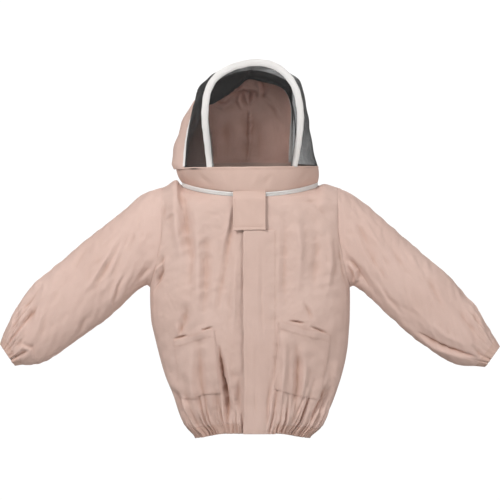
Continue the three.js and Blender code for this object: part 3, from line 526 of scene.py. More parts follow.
Z0 = 1.0
def hem_lift(x, z):
    return 13.5 * (1 - smooth(np.abs(x - 6), 70, 168)) * (1 - smooth(z, 10, 150))
def panel(front, us, nv):
    """Panel grid (columns us in -1..1 across, nv rows up)."""
    xt = us * 255.0
    T = top_curve(xt, front)
    vs = np.linspace(0, 1, nv)
    z = Z0 + (T[:, 2:3] - Z0) * vs[None, :]
    lim = side_x(z)
    x = us[:, None] * lim + at(CX, z) * (1 - smooth(z, 300, 440))
    zk = np.minimum(690.0, T[:, 2:3] - np.interp(np.abs(xt), [0, 120, 196, 255], [26, 58, 78, 62])[:, None])
    s = np.clip((z - zk) / (T[:, 2:3] - zk), 0, 1)
    zd = np.minimum(z, zk)
    D = depth(x, zd, front)
    y0 = -D if front else D
    f = 1 - np.sqrt(np.maximum(1 - s ** 2, 0))
    f = 0.35 * s ** 2.2 + 0.65 * f
    y = y0 + (T[:, 1:2] - y0) * f
    x = x + (T[:, 0:1] - x) * s ** 2
    if front:
        y = y + 22 * (1 - smooth(z, 0, 260)) * smooth(np.abs(x - 28), 45, 120) * (1 - smooth(np.abs(us[:, None]), 0.62, 1.0))
    x = x * (1 - 0.075 * (1 - smooth(z, 0, 46)))
    z = z + hem_lift(x, z)
    return np.stack([x, y, z], -1)

# ------------------------------------------------------------------ sleeves
SL = np.array([[292, 707, 298, 443, 66], [322, 685, 318, 430, 67], [370, 650, 346, 406, 67], [409, 615, 371, 382, 66],
      [447, 580, 400, 355, 65], [490, 545, 430, 331, 63], [527, 510, 462, 303, 61], [568, 476, 498, 276, 58], [602, 441, 533, 247, 55],
      [629, 406, 560, 230, 52], [657, 371, 585, 217, 48], [681, 336, 607, 210, 44], [699, 306, 634, 208, 38], [711, 286, 654, 208, 33]], float)
SR = np.array([[292, 716, 298, 446, 66], [326, 696, 320, 432, 67], [368, 661, 348, 406, 67], [410, 627, 378, 379, 66],
      [452, 592, 411, 351, 65], [494, 557, 444, 325, 63], [536, 522, 479, 300, 61], [578, 488, 515, 275, 58], [616, 456, 548, 254, 55],
      [645, 420, 578, 233, 52], [672, 382, 604, 220, 48], [694, 343, 628, 213, 44], [710, 315, 646, 211, 38], [717, 295, 660, 212, 33]], float)
CUFF_SL = np.array([[724, 264, 682, 206, 30]], float)
CUFF_SR = np.array([[725, 272, 682, 209, 31]], float)

def arm_loop(side, phi):
    z = (Z_TIP + 437) / 2 + (Z_TIP - 437) / 2 * np.cos(phi)
    front = np.sin(phi) >= 0
    x = arm_x(z)
    us_top = np.full(z.shape, 1.0)
    out = []
    for fr in (True, False):
        T = top_curve(np.full(z.shape, 255.0), fr)
        zk = Z_TIP - 62
        s = np.clip((z - zk) / (Z_TIP - zk), 0, 1)
        D = depth(x, np.minimum(z, zk), fr); y0 = -D if fr else D
        f = 0.35 * s ** 2.2 + 0.65 * (1 - np.sqrt(np.maximum(1 - s ** 2, 0)))
        out.append(np.stack([side * (x + (255.0 - x) * s ** 2), y0 + (T[:, 1] - y0) * f, z], -1))
    return np.where(front[:, None], out[0], out[1])

def sleeve_grid(side, rows, nphi, per):
    phi = np.linspace(0, TAU, nphi, endpoint=False)
    rings = [arm_loop(side, phi)]
    for tx, tz, bx, bz, d in rows:
        c, s = np.cos(phi), np.sin(phi)
        c2, s2 = np.sign(c) * np.abs(c) ** (2 / 2.15), np.sign(s) * np.abs(s) ** (2 / 2.15)
        rings.append(np.stack([side * ((tx + bx) / 2 + (tx - bx) / 2 * c2), -d * s2, (tz + bz) / 2 + (tz - bz) / 2 * c2], -1))
    R = np.stack(rings, 1)  # (phi, station, 3)
    R[:, 1] = R[:, 1] * 0.75 + (R[:, 0] + R[:, 2]) * 0.125
    return np.swapaxes(catmull(np.swapaxes(R, 0, 1), per), 0, 1)

# ------------------------------------------------------------------ cloth simulation
def simulate(grids, rests, pins, wraps, frames=14, cap=9.0):
    """Relaxes thin cloth that is cut wider than the space it is held in, so it buckles. Everything is seeded and applied."""
    verts, faces, rv, pw, base = [], [], [], [], 0
    for P, R, w, wr in zip(grids, rests, pins, wraps):
        nu, nv = P.shape[:2]
        r = np.random.default_rng(3)
        verts.append(P.reshape(-1, 3)); rv.append(R.reshape(-1, 3)); pw.append(w.ravel())
        for i in range(nu if wr else nu - 1):
            for j in range(nv - 1):
                a, b = base + i * nv + j, base + ((i + 1) % nu) * nv + j
                faces.append((a, b, b + 1, a + 1))
        base += nu * nv
    V0, RV, W = np.concatenate(verts), np.concatenate(rv), np.concatenate(pw)
    me = bpy.data.meshes.new("sim"); me.from_pydata((V0 * MM).tolist(), [], faces); me.update()
    ob = bpy.data.objects.new("sim", me); bpy.context.scene.collection.objects.link(ob)
    vg = ob.vertex_groups.new(name="pin")
    for lvl in np.unique(np.round(W, 2)):
        if lvl > 0: vg.add(np.nonzero(np.round(W, 2) == lvl)[0].tolist(), float(lvl), "REPLACE")
    ob.shape_key_add(name="Basis"); rk = ob.shape_key_add(name="rest")
    rk.data.foreach_set("co", (RV * MM).ravel())
    rk.value = 0.0
    md = ob.modifiers.new("Cloth", "CLOTH"); c = md.settings
    c.quality = 6; c.mass = 0.12; c.tension_stiffness = 12; c.compression_stiffness = 12; c.shear_stiffness = 4; c.bending_stiffness = 0.25
    c.tension_damping = c.compression_damping = c.shear_damping = 6; c.bending_damping = 0.6; c.air_damping = 2
    c.vertex_group_mass = "pin"; c.pin_stiffness = 1.0
    c.rest_shape_key = rk
    c.effector_weights.gravity = 0.0
    md.collision_settings.use_collision = False; md.collision_settings.use_self_collision = False
    sc = bpy.context.scene
    md.point_cache.frame_start, md.point_cache.frame_end = 1, frames
    for f in range(1, frames + 1):
        sc.frame_set(f)
    ev = ob.evaluated_get(bpy.context.evaluated_depsgraph_get())
    co = np.zeros(len(ev.data.vertices) * 3, np.float32); ev.data.vertices.foreach_get("co", co)
    d = co.reshape(-1, 3).astype(float) / MM - V0
    sc.frame_set(1)
    bpy.data.objects.remove(ob); bpy.data.meshes.remove(me)
    if not np.isfinite(d).all(): d[:] = 0
    L = np.linalg.norm(d, axis=1, keepdims=True)
    print("sim: moved mean %.2f max %.2f mm" % (L.mean(), L.max()))
    d *= cap * np.tanh(L / cap) / np.maximum(L, 1e-6)
    out, k = [], 0
    for P in grids:
        n = P.shape[0] * P.shape[1]
        out.append(P + d[k:k + n].reshape(P.shape)); k += n
    return out

ncol, nrow, nphi, per = 61, 74, 56, 4
us = np.linspace(-1, 1, ncol)
us = np.sign(us) * (1 - (1 - np.abs(us)) ** 1.08)
FRONT, BACK = panel(True, us, nrow), panel(False, us, nrow)
SLV = {1: sleeve_grid(1, SL, nphi, per), -1: sleeve_grid(-1, SR, nphi, per)}
GR = [FRONT, BACK, SLV[1], SLV[-1]]
def panel_rest(P):
    z = P[..., 2]; R = P.copy()
    wide = 1 + 0.10 * (1 - smooth(z, 40, 420)) + 0.035
    R[..., 0] = P[..., 0] * wide; R[..., 1] = P[..., 1] * wide
    R[..., 2] = z * 1.035
    return R
def sleeve_rest(P, side):
    c = P.mean(0, keepdims=True)
    k = np.linspace(0, 1, P.shape[1])[None, :, None]
    R = c + (P - c) * (1.06 + 0.12 * smooth(k, 0.78, 1.0))
    axis = norm(c[:, -1:] - c[:, :1]); s = ((P - c[:, :1]) * axis).sum(-1, keepdims=True)
    return R + axis * s * 0.06
def edge_pin(P, wrap):
    w = np.full(P.shape[:2], 0.02)
    w[:, 0] = w[:, -1] = 1
    if not wrap: w[0] = w[-1] = 1
    return w
wF, wB = edge_pin(FRONT, False), edge_pin(BACK, False)
mid = np.argmin(np.abs(us - 12 / 255)); wF[mid - 1:mid + 2] = 1
for w in (wF, wB): w[:, :4] = 1
pins = [wF, wB, edge_pin(SLV[1], True), edge_pin(SLV[-1], True)]
noise = [P + normals(P, w, P * np.array([1, 1, 0]))[..., :] * (waves(arc(P, 0), arc(P, 1), 46, 11 + k) * 1.2 * (pins[k] < 0.5))[..., None]
         for k, (P, w) in enumerate(zip(GR, (False, False, True, True)))]
rests = [panel_rest(FRONT), panel_rest(BACK), sleeve_rest(SLV[1], 1), sleeve_rest(SLV[-1], -1)]
FRONT, BACK, SLV[1], SLV[-1] = simulate(noise, rests, pins, (False, False, True, True))

# ------------------------------------------------------------------ folds drawn on the front
FOLDS = [
  # kind, width, height, second width, points
  # viewer's left shoulder and chest
  ("v", 11, 3.4, None, lat((177, 181), (181, 190), (184, 204), (186, 228), (190, 256))), ("v", 18, 4.2, None, lat((180, 184), (184, 200), (187, 238), (193, 262), (191, 292))),
  ("r", 12, 4, None, lat((176, 190), (175, 205), (178, 235), (183, 262))),
  ("s", 5, 1.8, 10, lat((177, 213), (171, 215), (164, 221))),
  ("v", 9, 3, None, lat((160, 194), (162, 210), (159, 232))),
  ("r", 13, 3.4, None, lat((197, 205), (197, 250), (198, 295), (195, 334))),
  ("v", 14, 4.6, None, lat((207, 222), (206, 250), (206, 285), (205, 318))),
  ("s", 6, 3.2, 16, lat((236, 200), (232, 213), (228, 236), (222, 262))),
  ("v", 11, 3.6, None, lat((230, 225), (226, 262), (219, 300), (217, 322))),
  ("r", 10, 2.6, None, lat((236, 240), (234, 300), (232, 350))),
  # underarm, viewer's left
  ("s", 6, 4.5, 14, lat((140, 282), (146, 274), (158, 266), (168, 255))),
  ("v", 7, 6, None, lat((151, 291), (156, 283), (161, 272), (163, 255))),
  ("v", 8, 4, None, lat((136, 284), (143, 276), (152, 268))),
  # sleeve, viewer's left
  ("r", 7, 4.5, None, lat((121, 236), (110, 252), (97, 274), (83, 296))),
  ("v", 9, 5, None, lat((127, 232), (116, 252), (102, 276), (89, 297))),
  ("s", 5, 3.6, 14, lat((132, 222), (122, 248), (114, 268), (104, 288))),
  ("s", 4, 4.2, 10, lat((125, 272), (117, 286), (113, 300), (113, 310))),
  ("v", 8, 3, None, lat((143, 222), (133, 240), (126, 258))),
  ("r", 8, 3, None, lat((136, 216), (138, 236), (140, 256))),
  ("v", 7, 2.6, None, lat((90, 312), (84, 322), (79, 336))),
  ("r", 9, 2.6, None, lat((64, 262), (52, 284), (44, 306))),
  ("v", 10, 3.2, None, lat((98, 234), (80, 258), (68, 284))),
  ("v", 16, 7.5, None, lat((41, 282), (32, 306), (25, 330), (20, 352))),
  ("r", 9, 4, None, lat((48, 300), (40, 322), (33, 346))),
  ("s", 4, 4.2, 9, lat((19, 308), (15, 320), (12, 330))),
  ("v", 5, 4, None, lat((13, 330), (10, 344), (8, 353))),
  ("s", 5, 4.5, 10, lat((16, 352), (22, 345), (31, 349), (35, 360))),
  ("v", 2.8, 4.5, None, lat((173, 339.3), (180, 337), (188, 335.2))), ("v", 2.6, 3.6, None, lat((201, 330.5), (207, 328.6), (213, 327.2))),
  # torso, viewer's left, low
  ("v", 12, 4.5, None, lat((188, 300), (184, 322), (178, 338))),
  ("s", 4, 3, 9, lat((179, 322), (179, 336))),
  ("r", 13, 4.5, None, lat((190, 345), (191, 372), (194, 402), (197, 424))),
  ("v", 13, 6.5, None, lat((199, 338), (200, 372), (204, 408))),
  ("v", 8, 9, None, lat((172, 384), (179, 398), (183, 410), (190, 424))), ("r", 7, 5, None, lat((180, 392), (187, 406), (192, 420))),
  ("r", 9, 5, None, lat((171, 372), (178, 396), (186, 414))),
  ("v", 4.6, 10.5, None, lat((218.5, 343), (222, 366), (225.5, 392), (227, 424))), ("v", 9, 4, None, lat((217, 340), (221, 368), (225, 392), (228, 424))),
  ("r", 8, 4, None, lat((226, 350), (230, 380), (233, 412))),
  ("v", 8, 4, None, lat((238, 372), (238, 400), (240, 426))),
  # viewer's right of the cover
  ("v", 4.6, 10.5, None, lat((276, 330), (275.8, 350), (273.4, 374), (269, 400), (266.5, 425))), ("v", 10, 5, None, lat((274, 345), (272, 376), (268, 400), (266, 425))),
  ("r", 8, 4.5, None, lat((284, 332), (284, 366), (281, 392), (277, 418))),
  ("v", 8, 6.5, None, lat((295, 338), (298, 364), (297, 388), (291, 414))),
  ("r", 8, 3.5, None, lat((304, 340), (305, 370), (301, 400), (298, 422))),
  ("v", 6, 8, None, lat((326, 384), (322, 400), (314, 414), (310, 424))), ("v", 12, 5, None, lat((334, 376), (328, 394), (319, 412))),
  ("r", 10, 4, None, lat((338, 360), (334, 382), (326, 404))),
  ("v", 2.6, 4.5, None, lat((288, 320.5), (296, 321.5), (305, 323.5))), ("v", 2.6, 3.6, None, lat((309, 326), (318, 329.5), (328, 333.5))), ("v", 6, 2.5, None, lat((303, 300), (309, 312), (313, 322))),
  # chest, viewer's right
  ("v", 13, 3.0, None, lat((284, 206), (285, 240), (284, 285), (284, 316))),
  ("r", 12, 3.2, None, lat((297, 206), (300, 250), (298, 300))),
  ("v", 14, 3.2, None, lat((314, 214), (317, 250), (314, 285), (312, 308))),
  ("s", 6, 1.0, 12, lat((286, 200), (300, 203), (316, 200), (334, 199))),
  ("v", 9, 1.8, None, lat((306, 196), (318, 207), (331, 224))),
  ("r", 10, 3, None, lat((328, 222), (331, 262), (326, 300))),
  # underarm, viewer's right
  ("s", 4, 6, 10, lat((346, 262), (352, 264), (357, 271), (357, 280), (352, 286))), ("v", 5, 5, None, lat((344, 266), (350, 270), (353, 277), (350, 284))), ("s", 6, 4.5, 14, lat((337, 258), (349, 262), (360, 276), (368, 292))),
  ("v", 7, 6, None, lat((349, 286), (346, 272), (343, 256), (341, 240))),
  ("v", 7, 3.6, None, lat((352, 268), (362, 278), (371, 292))),
  # sleeve, viewer's right
  ("v", 8, 3.4, None, lat((352, 214), (364, 236), (378, 262))),
  ("r", 8, 3.2, None, lat((362, 216), (376, 240), (392, 266))),
  ("s", 4, 3.4, 12, lat((360, 240), (372, 262), (388, 284))),
  ("v", 9, 4, None, lat((382, 232), (398, 258), (418, 284))),
  ("s", 4, 3, 10, lat((376, 280), (388, 300), (404, 318))),
  ("r", 7, 3.2, None, lat((402, 244), (420, 272), (436, 296))),
  ("v", 9, 4.4, None, lat((414, 262), (432, 288), (446, 312))),
  ("v", 3.5, 6.5, None, lat((411, 329), (428, 339.5), (446, 347.5), (464, 353.5), (481, 358))), ("s", 5, 6, 13, lat((408, 322), (420, 336), (436, 347), (460, 355), (482, 361))),
  ("r", 8, 3.6, None, lat((430, 322), (446, 336), (468, 346))),
  ("v", 12, 5.5, None, lat((452, 300), (464, 318), (476, 340), (484, 356))),
  ("s", 4, 4, 9, lat((478, 318), (486, 332), (492, 346))),
  ("r", 8, 3.4, None, lat((462, 290), (474, 310), (486, 334))),
  ("v", 6, 4, None, lat((470, 344), (478, 352), (484, 362))),
]
def random_folds(seed, n, x0, x1, z0, z1, ang, spread, w=(6, 14), h=(1, 3), L=(50, 160)):
    r = np.random.default_rng(seed); out = []
    for _ in range(n):
        x, z, a = r.uniform(x0, x1), r.uniform(z0, z1), math.radians(r.normal(ang, spread))
        l, bend = r.uniform(*L), r.normal(0, 0.12)
        pts = [(x, z)]
        for k in range(3):
            x += math.cos(a) * l / 3; z += math.sin(a) * l / 3; a += bend; pts.append((x, z))
        kind = r.choice(["v", "r", "s"]); ww = r.uniform(*w); hh = r.uniform(*h)
        out.append((kind, ww * (0.55 if kind == "s" else 1), hh, ww * 1.6, pts))
    return out
FRONT_SMALL = (random_folds(21, 17, -240, -40, 130, 420, 92, 5, w=(8, 17), h=(0.7, 2.0), L=(160, 380)) + random_folds(22, 17, 90, 250, 130, 420, 88, 5, w=(8, 17), h=(0.7, 2.0), L=(160, 380))
    + random_folds(23, 22, -600, -290, 360, 620, 226, 11, w=(6, 13), h=(0.8, 2.2), L=(90, 230)) + random_folds(24, 22, 290, 600, 360, 620, -46, 11, w=(6, 13), h=(0.8, 2.2), L=(90, 230)))
BACK_SMALL = (random_folds(31, 46, -240, 240, 60, 420, 90, 8, w=(8, 22), h=(1.2, 4.0), L=(140, 340))
    + random_folds(33, 46, -640, -290, 300, 620, 222, 15, h=(1.2, 4.2)) + random_folds(34, 46, 290, 640, 300, 620, -42, 15, h=(1.2, 4.2))
    + random_folds(35, 8, -230, -120, 430, 560, 30, 20, w=(8, 16), h=(2, 4.5)) + random_folds(36, 8, 120, 230, 430, 560, 150, 20, w=(8, 16), h=(2, 4.5)))
def fold_height(X, Z, folds, gain=1.0):
    h = np.zeros(X.shape)
    for kind, w, a, w2, pts in folds:
        h += stroke(X, Z, pts, kind, w, a * gain, w2)
    return h

def pleats(s, up, seed, reach=1.0, amp=1.0, flat=None):
    """Gathers at an elastic: s along the band, up the distance from it; fine pleats merge into wider ones away from it."""
    warp = waves1(s, 55, seed) * 5
    skew = up * 0.10 * waves1(s, 90, seed + 1)
    q = s + warp + skew
    def ridge(p): return np.abs(np.sin(p)) ** 0.8 * 2 - 1.15
    a1 = 3.3 * np.exp(-(np.abs(up) / (34 * reach)) ** 1.5) * (0.95 + 0.25 * waves1(s, 40, seed + 2))
    a2 = 3.7 * np.exp(-((up - 26 * reach) / (46 * reach)) ** 2) * (0.95 + 0.35 * waves1(s, 70, seed + 3))
    a3 = 3.6 * np.exp(-((up - 62 * reach) / (72 * reach)) ** 2) * (0.85 + 0.45 * waves1(s, 130, seed + 4))
    h = a1 * ridge(q * math.pi / 9.2) + a2 * ridge((q + warp) * math.pi / 19.0 + 0.4) + a3 * ridge((q + 1.6 * warp) * math.pi / 37.0 + 1.1)
    h = h * amp
    if flat is not None: h = h * flat
    return h

# fine grids
FU, FV = 5, 4
F = finer(FRONT, FU, FV); B = finer(BACK, FU, FV)
usf = catmull(us[:, None], FU)[:, 0]
def hem_s(P):
    """Length round the hem for each column of a grid, measured from the front centre line at x = 0."""
    L = arc(P[:, :1], 0)[:, 0]
    return L
nF, nB = normals(F, False, np.array([0, -1.0, 0]) * np.ones(F.shape)), normals(B, False, np.array([0, 1.0, 0]) * np.ones(B.shape))
sF = hem_s(F); sF = sF - np.interp(0, F[:, 0, 0], sF)
sB = hem_s(B); sB = sB[-1] - sB + sF[-1]  # carries on round the side
totalF = sF[-1] - sF[0]
def flat_front(x): return 1 - smooth(x, -26, -16) * (1 - smooth(x, 46, 58)) * 0.93
ptF = pleats(np.broadcast_to(sF[:, None], F.shape[:2]), F[..., 2] - 18, 5, 1.0, 1.6, flat_front(F[..., 0]))
ptB = pleats(np.broadcast_to(sB[:, None], B.shape[:2]), B[..., 2] - 18, 5, 1.0, 1.6)
edge_soft = lambda u: smooth(1 - np.abs(u), 0.0, 0.03)
hF = (fold_height(F[..., 0], F[..., 2], FOLDS, 2.45) + fold_height(F[..., 0], F[..., 2], FRONT_SMALL, 0.5)) * edge_soft(usf)[:, None]
hB = fold_height(B[..., 0], B[..., 2], BACK_SMALL, 0.8) * edge_soft(usf)[:, None]
# quiet under the cover and flap, and at the neck edge
calm = 1 - 0.9 * smooth(F[..., 0], -30, -18) * (1 - smooth(F[..., 0], 74, 90))
dtop = arc(F, 1)[:, -1:] - arc(F, 1)
topfade = smooth(dtop, 1, 22)
wob = waves(F[..., 0], F[..., 2] * 0.18 + F[..., 0] * 0.05, 78, 41) * 1.2 + waves(F[..., 0], F[..., 2], 210, 43) * 3.0
wobB = waves(B[..., 0], B[..., 2] * 0.3, 80, 42) * 2.6 + waves(B[..., 0], B[..., 2], 220, 44) * 3.0
fadeB = smooth(arc(B, 1)[:, -1:] - arc(B, 1), 1, 30)
F = F + nF * ((hF + wob * edge_soft(usf)[:, None]) * calm * topfade + ptF * (0.4 + 0.6 * edge_soft(usf)[:, None]))[..., None]
B = B + nB * ((hB + wobB * edge_soft(usf)[:, None]) * fadeB + ptB * (0.4 + 0.6 * edge_soft(usf)[:, None]))[..., None]

def sample_front(x, z):
    """Position and normal of the finished front surface in front of (x, z)."""
    x = np.asarray(x, float); z = np.asarray(z, float)
    lim = side_x(z); u = (x - at(CX, z) * (1 - smooth(z, 300, 440))) / lim
    for _ in range(3):
        zt = top_curve(u * 255.0, True)[..., 2]
        v = (z - Z0) / (zt - Z0)
        i = np.clip(np.interp(u, usf, np.arange(len(usf))), 0, len(usf) - 1.001); j = np.clip(v * (F.shape[1] - 1), 0, F.shape[1] - 1.001)
        i0, j0 = i.astype(int), j.astype(int); fi, fj = (i - i0)[..., None], (j - j0)[..., None]
        p = F[i0, j0] * (1 - fi) * (1 - fj) + F[i0 + 1, j0] * fi * (1 - fj) + F[i0, j0 + 1] * (1 - fi) * fj + F[i0 + 1, j0 + 1] * fi * fj
        u = u + (x - p[..., 0]) / lim
    n = nF[i0, j0]
    return p, n

# ------------------------------------------------------------------ pieces
def piece(ob, body, slot, *nodes):
    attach(ob, body)
    if nodes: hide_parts(*nodes)
    return ob

def bend(ob, a, b, start, end, slot, *nodes):
    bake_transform(ob)
    if nodes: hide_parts(*nodes)
    return ob

def walk(P, lo=None, hi=None):
    """Columns of a grid walked again so that they run between two values of x."""
    nu, nv = P.shape[:2]; i = np.arange(nu, dtype=float)
    X = np.maximum.accumulate(P[..., 0], axis=0) + i[:, None] * 1e-6
    a = np.zeros(nv) if lo is None else np.array([np.interp(lo, X[:, j], i) for j in range(nv)])
    b = np.full(nv, nu - 1.0) if hi is None else np.array([np.interp(hi, X[:, j], i) for j in range(nv)])
    n = int(round((b - a).mean())) + 1
    t = a + (b - a) * np.linspace(0, 1, n)[:, None]
    k = np.clip(t.astype(int), 0, nu - 2); f = (t - k)[..., None]; j = np.arange(nv)[None, :]
    return P[k, j] * (1 - f) + P[k + 1, j] * f

FRONTWARD, BACKWARD = np.array([0, -1.0, 0]), np.array([0, 1.0, 0])
def bent_line(P, i=None, j=None, out=FRONTWARD):
    n = normals(P, False, np.broadcast_to(out, P.shape))
    return (P[i], n[i]) if i is not None else (P[:, j], n[:, j])

# sunk seam lines on the panels: hem channel, armholes
def groove(d, w=2.2, h=1.3): return -h * np.exp(-(d / w) ** 2)
for P, n, sgn in ((F, nF, 1), (B, nB, 1)):
    z = P[..., 2]; e = np.minimum(arc(P, 0), arc(P, 0)[-1:] - arc(P, 0))
    P += n * (groove(z - 32, 2.0, 0.9) + groove(e, 2.4, 0.5) * (z > 430) * np.where(P[..., 0] > 0, 1.0, 0.4))[..., None]

jh = int(round(30.0 / 705 * (F.shape[1] - 1)))
FR, FL = walk(F, None, 5.0), walk(F, 19.0, None)
T_CLOTH = 1.2
front_r = sheet("front_panel_right_cloth", FR[:, jh:], T_CLOTH, np.broadcast_to(FRONTWARD, FR[:, jh:].shape), mat=M_BODY)
front_l = sheet("front_panel_left_cloth", FL[:, jh:], T_CLOTH, np.broadcast_to(FRONTWARD, FL[:, jh:].shape), mat=M_BODY)
back_c = sheet("back_panel_cloth", B[:, jh:], T_CLOTH, np.broadcast_to(BACKWARD, B[:, jh:].shape), mat=M_BODY)
piece(front_r, "jacket", "body_cloth", "front_panel_right"); piece(front_l, "jacket", "body_cloth", "front_panel_left")
piece(back_c, "jacket", "body_cloth", "back_panel")
hems = [sheet("h%d" % k, P[:, :jh + 1], T_CLOTH, np.broadcast_to(d, P[:, :jh + 1].shape), mat=M_HEM)
        for k, (P, d) in enumerate(((FR, FRONTWARD), (FL, FRONTWARD), (B, BACKWARD)))]
piece(join("hem_casing_cloth", hems), "jacket", "body_cloth", "hem_casing")

# the elastic in the hem: a flat loop behind the gathers, open at the zip
qq = np.linspace(0.098, TAU - 0.16, 260) - math.pi / 2
def hem_ring(off, z):
    c, s = np.cos(qq), np.sin(qq)
    a = half(12.0) - off
    x = a * np.sign(c) * np.abs(c) ** (2 / 2.3) + at(CX, 12.0)
    y = np.where(s < 0, at(FD, 12.0) - off, at(BD, 12.0) - off) * np.sign(s) * np.abs(s) ** (2 / 2.3)
    return np.stack([x, y, 0 * x + z], -1)
E = np.stack([hem_ring(7.5 + 0.6 * math.cos(k * 3), z) for k, z in enumerate(np.linspace(5, 27, 9))], 1)
E[..., 0] *= (1 - 0.075 * (1 - smooth(E[..., 2], 0, 46))) * 0.99
E[..., 2] += hem_lift(E[..., 0], E[..., 2])
E[..., 1] += np.where(E[..., 1] < 0, 22 * smooth(np.abs(E[..., 0] - 28), 45, 120) * (1 - smooth(np.abs(E[..., 0]), 110, 180)), 0)
E = E + norm(E * np.array([1, 1, 0])) * (np.sin(np.arange(260) * TAU / 3.2) * 0.5)[:, None, None]
piece(sheet("hem_elastic_band", E, 1.3, E * np.array([1, 1, 0]), mat=M_ELASTIC), "jacket", "elastic", "hem_elastic")

# ---- sleeves, with their cuffs
def sleeve_full(side, P, rows, seed):
    """Sleeve plus cuff: simulated grid, then the cuff stations, refined and folded."""
    nphi = P.shape[0]
    c0 = P[:, -1]
    tx, tz, bx, bz, d = rows[0]
    phi = np.linspace(0, TAU, nphi, endpoint=False); c, s = np.cos(phi), np.sin(phi)
    c2, s2 = np.sign(c) * np.abs(c) ** (2 / 2.15), np.sign(s) * np.abs(s) ** (2 / 2.15)
    end = np.stack([side * ((tx + bx) / 2 + (tx - bx) / 2 * c2), -d * s2, (tz + bz) / 2 + (tz - bz) / 2 * c2], -1)
    step = 3
    extra = [c0 + (end - c0) * k / step for k in range(1, step + 1)]
    Q = np.concatenate([P, np.stack(extra, 1)], 1)
    G = finer(Q, 4, 4, True)
    cen = G.mean(0, keepdims=True)
    n = normals(G, True, G - cen)
    s_len = arc(np.concatenate([G, G[:1]], 0), 0)
    per_len = s_len[-1]
    ssm = s_len[:-1] / per_len[None] * per_len[-60]  # length round the cuff, the same along each thread line
    v = arc(G, 1); cuff_v = v[:, -(step * 4 + 1)].mean(); up = cuff_v - v
    X, Y, Z = G[..., 0], G[..., 1], G[..., 2]
    front = smooth(-n[..., 1], -0.15, 0.35); back = smooth(n[..., 1], -0.15, 0.35)
    root = smooth(v, 0, 26)
    h = (fold_height(X, Z, FOLDS, 1.35) + fold_height(X, Z, FRONT_SMALL, 0.75)) * front
    h += fold_height(X, Z, BACK_SMALL, 0.95) * back
    ang = np.broadcast_to(np.linspace(0, TAU, G.shape[0], endpoint=False)[:, None], X.shape)
    h += (waves(np.cos(ang) * 75 + v * 0.22, np.sin(ang) * 75 - v * 0.16, 70, seed) * 1.3 + waves(np.cos(ang) * 70, v + np.sin(ang) * 70, 190, seed + 3) * 2.2) * (1 - smooth(v, cuff_v - 60, cuff_v - 10))
    h *= root
    # gathers: an integer number of pleats round the cuff keeps the loop closed
    L = per_len[-40]
    q = ang / TAU
    warp = 0.012 * np.sin(ang * 2 + seed) + 0.009 * np.sin(ang * 5 + 2 * seed)
    def ridge(p): return np.abs(np.sin(p)) ** 0.8 * 2 - 1.15
    n1, n2, n3 = 26, 15, 8
    dist = np.maximum(up, -6)
    g = 2.1 * np.exp(-(np.abs(up + 8) / 26) ** 1.5) * ridge((q + warp) * n1 * math.pi) * (0.8 + 0.3 * np.sin(ang * 3 + seed))
    g += 2.6 * np.exp(-((dist - 20) / 26) ** 2) * ridge((q + 1.5 * warp) * n2 * math.pi + 0.6) * (0.75 + 0.4 * np.sin(ang * 2 + 1 + seed))
    g += 3.2 * np.exp(-((dist - 48) / 42) ** 2) * ridge((q + 2.2 * warp) * n3 * math.pi + 1.3) * (0.7 + 0.5 * np.sin(ang + 2 + seed))
    h += g * 1.5
    h += groove(up, 1.8, 1.4)
    h += (groove(v, 2.2, 0.5) + 0.5 * np.exp(-((v - 5) / 4) ** 2)) * (1.0 if side > 0 else 0.4)
    G = G + n * h[..., None]
    return G, step * 4
for side, rows, cuff, nm, seed in ((1, SL, CUFF_SL, "left", 51), (-1, SR, CUFF_SR, "right", 67)):
    G, k = sleeve_full(side, SLV[side], cuff, seed)
    cen = np.broadcast_to(G.mean(0, keepdims=True), G.shape)
    a, b, body = "jacket", "sleeve_" + nm[0], None
    sl = sheet("sleeve_%s_cloth" % nm, G[:, :-k], T_CLOTH, (G - cen)[:, :-k], wrap=True, mat=M_SLEEVE)
    bend(sl, a, b, (side * 286, 0, 560), (side * 440, 0, 577), "body_cloth", "sleeve_" + nm)
    cf = sheet("cuff_casing_%s_cloth" % nm, G[:, -k - 1:], T_CLOTH, (G - cen)[:, -k - 1:], wrap=True, mat=M_HEM)
    piece(cf, b, "body_cloth", "cuff_casing_" + nm)
    # elastic just inside the casing
    R = G[:, -k - 1:]; m = R.mean(0, keepdims=True)
    a0, a1 = R[:, 2], R[:, -3]
    def tight(A):
        c = A.mean(0, keepdims=True); d = A - c; K = np.exp(-(np.arange(-24, 25) / 9.0) ** 2); K /= K.sum()
        dd = sum(np.roll(d, s - 24, 0) * K[s] for s in range(49))
        return c + dd * (1 - 5.6 / np.linalg.norm(dd, axis=-1, keepdims=True))
    a0, a1 = tight(a0), tight(a1)
    E = np.stack([a0 + (a1 - a0) * t for t in np.linspace(0.08, 0.92, 7)], 1)
    piece(sheet("cuff_elastic_%s_band" % nm, E, 1.3, E - E.mean(0, keepdims=True), wrap=True, mat=M_ELASTIC), b, "elastic", "cuff_elastic_" + nm)

